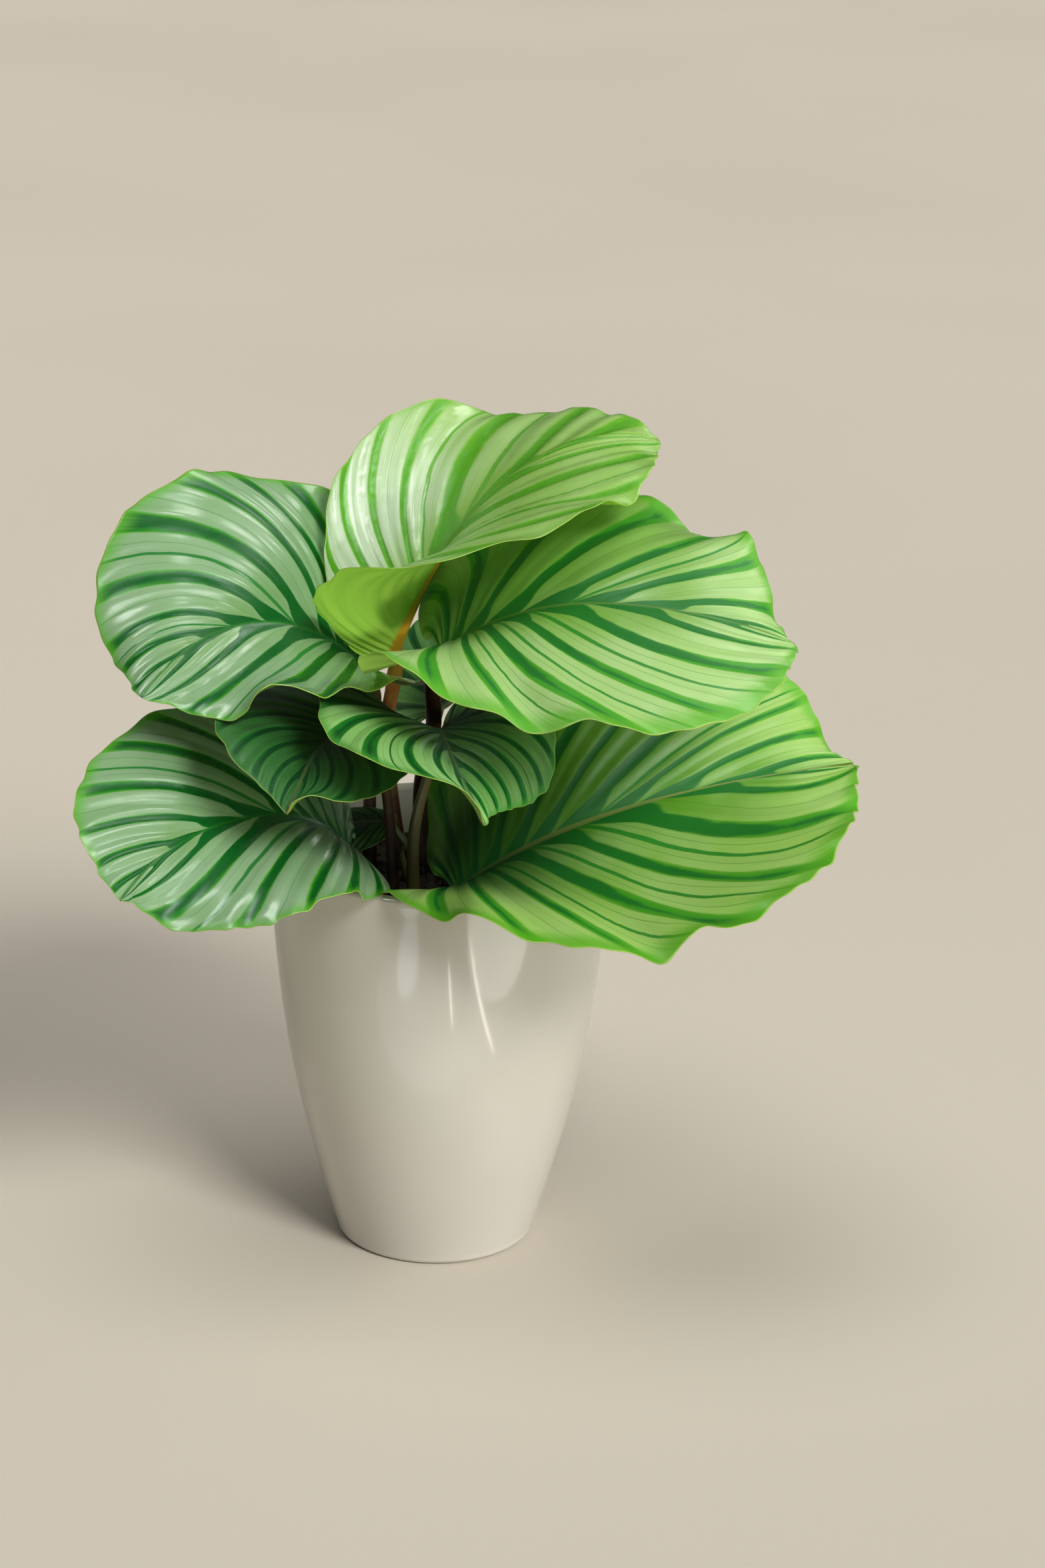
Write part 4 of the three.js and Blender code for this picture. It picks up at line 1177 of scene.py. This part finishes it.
# Wide suns, as bright on the far floor. They give no gloss, the panels below do that.
for name, direction, strength, angle, colour in (
        ("key", (520, -760, 760), 2.35, 20, (1.0, 0.985, 0.95)),
        ("ceiling", (-150, -150, 1000), 1.1, 36, (1.0, 0.99, 0.97)),
        ("right_window", (950, 100, 480), 0.4, 40, (1.0, 0.97, 0.93)),
        ("low_window", (880, -480, 110), 1.5, 40, (1.0, 0.98, 0.95)),
        ("low_left", (-300, -950, 60), 0.12, 40, (1.0, 1.0, 0.98))):
    lamp(name, "SUN", strength, colour, direction, (0, 0, 0), ["glossy"],
         angle=math.radians(angle))

PLANT_MIDDLE = (0, 0, 220)
PANEL_DISTANCE = 2200
COOL = (0.97, 0.99, 1.0)
WARM = (1.0, 0.98, 0.95)

# Panels that only show as a gloss, by their bearing from the front and their height, in degrees
for name, bearing, height, size, radiance, colour in (
        ("front_low", 20, 14, (3200, 550), 10.0, COOL),
        ("front_high", -45, 52, (500, 1100), 12.0, COOL),
        ("front_right", 48, 60, (350, 350), 12.0, COOL),
        ("right_low", 76, 26, (450, 300), 12.0, WARM),
        ("right_high", 102, 68, (600, 400), 10.0, WARM),
        ("right_wall", 108, 42, (400, 700), 10.0, WARM),
        ("behind", -172, 52, (900, 700), 0.6, WARM),
        ("far_behind", 150, 24, (700, 400), 2.5, WARM)):
    flat = PANEL_DISTANCE * math.cos(math.radians(height))
    position = (flat * math.sin(math.radians(bearing)), -flat * math.cos(math.radians(bearing)),
                PLANT_MIDDLE[2] + PANEL_DISTANCE * math.sin(math.radians(height)))
    panel(name, "RECTANGLE", radiance, colour, position, PLANT_MIDDLE, size,
          ["diffuse", "camera", "transmission"])

# A small reflector low in front, that lights the underside of the young leaf's funnel
lamp("bounce", "SPOT", 10, (0.97, 1.0, 1.0), (-95, -650, 225), (-30, 0, 262), ["glossy"],
     spot_size=math.radians(9), spot_blend=1.0, shadow_soft_size=0.03)

# Flat panels on the floor before the pot, that only its glaze mirrors. Small ones lie on top.
for name, x, y, size, radiance, colour in (
        ("low_cool", -20, -235, (300, 170), 0.35, (0.84, 0.93, 1.0)),
        ("low_cool_middle", -25, -245, (220, 130), 0.4, (0.84, 0.93, 1.0)),
        ("low_cool_inner", -35, -255, (140, 90), 0.45, (0.84, 0.93, 1.0)),
        ("low_cool_top", -95, -300, (70, 110), 1.6, (0.86, 0.94, 1.0)),
        ("low_right", 260, -300, (300, 260), 2.0, (1.0, 0.97, 0.92)),
        ("low_strip", 42, -265, (5, 90), 9.0, (1.0, 0.93, 0.82)),
        ("low_strip_right", 120, -235, (6, 170), 9.0, (1.0, 0.93, 0.82))):
    raised = 1.5 if size[0] > 100 else 3
    panel(name, "ELLIPSE", radiance, colour, (x, y, raised), (x, y, 100), size,
          ["diffuse", "camera"])

world = bpy.data.worlds.new("studio")
world.use_nodes = True
background = world.node_tree.nodes["Background"]
background.inputs[0].default_value = (0.9, 0.9, 0.9, 1)
background.inputs[1].default_value = 0.09
bpy.context.scene.world = world

PICTURE_HEIGHT = 2352
FOCAL_PIXELS = 5500
SENSOR = 36
CAMERA_PLACE = (32.5, -1378.0, 684.6)
CAMERA_PITCH = 19.6
CAMERA_ROLL = 1.3

camera_data = bpy.data.cameras.new("camera")
camera_data.sensor_fit = "VERTICAL"
camera_data.sensor_height = SENSOR
camera_data.lens = FOCAL_PIXELS / PICTURE_HEIGHT * SENSOR
camera_data.clip_end = 100
bpy.context.scene.camera = placed("camera", camera_data, (
    Matrix.Translation(Vector(CAMERA_PLACE) * MM)
    @ Matrix.Rotation(math.radians(90 - CAMERA_PITCH), 4, "X")
    @ Matrix.Rotation(math.radians(CAMERA_ROLL), 4, "Z")))
bpy.context.scene.view_settings.view_transform = "Standard"
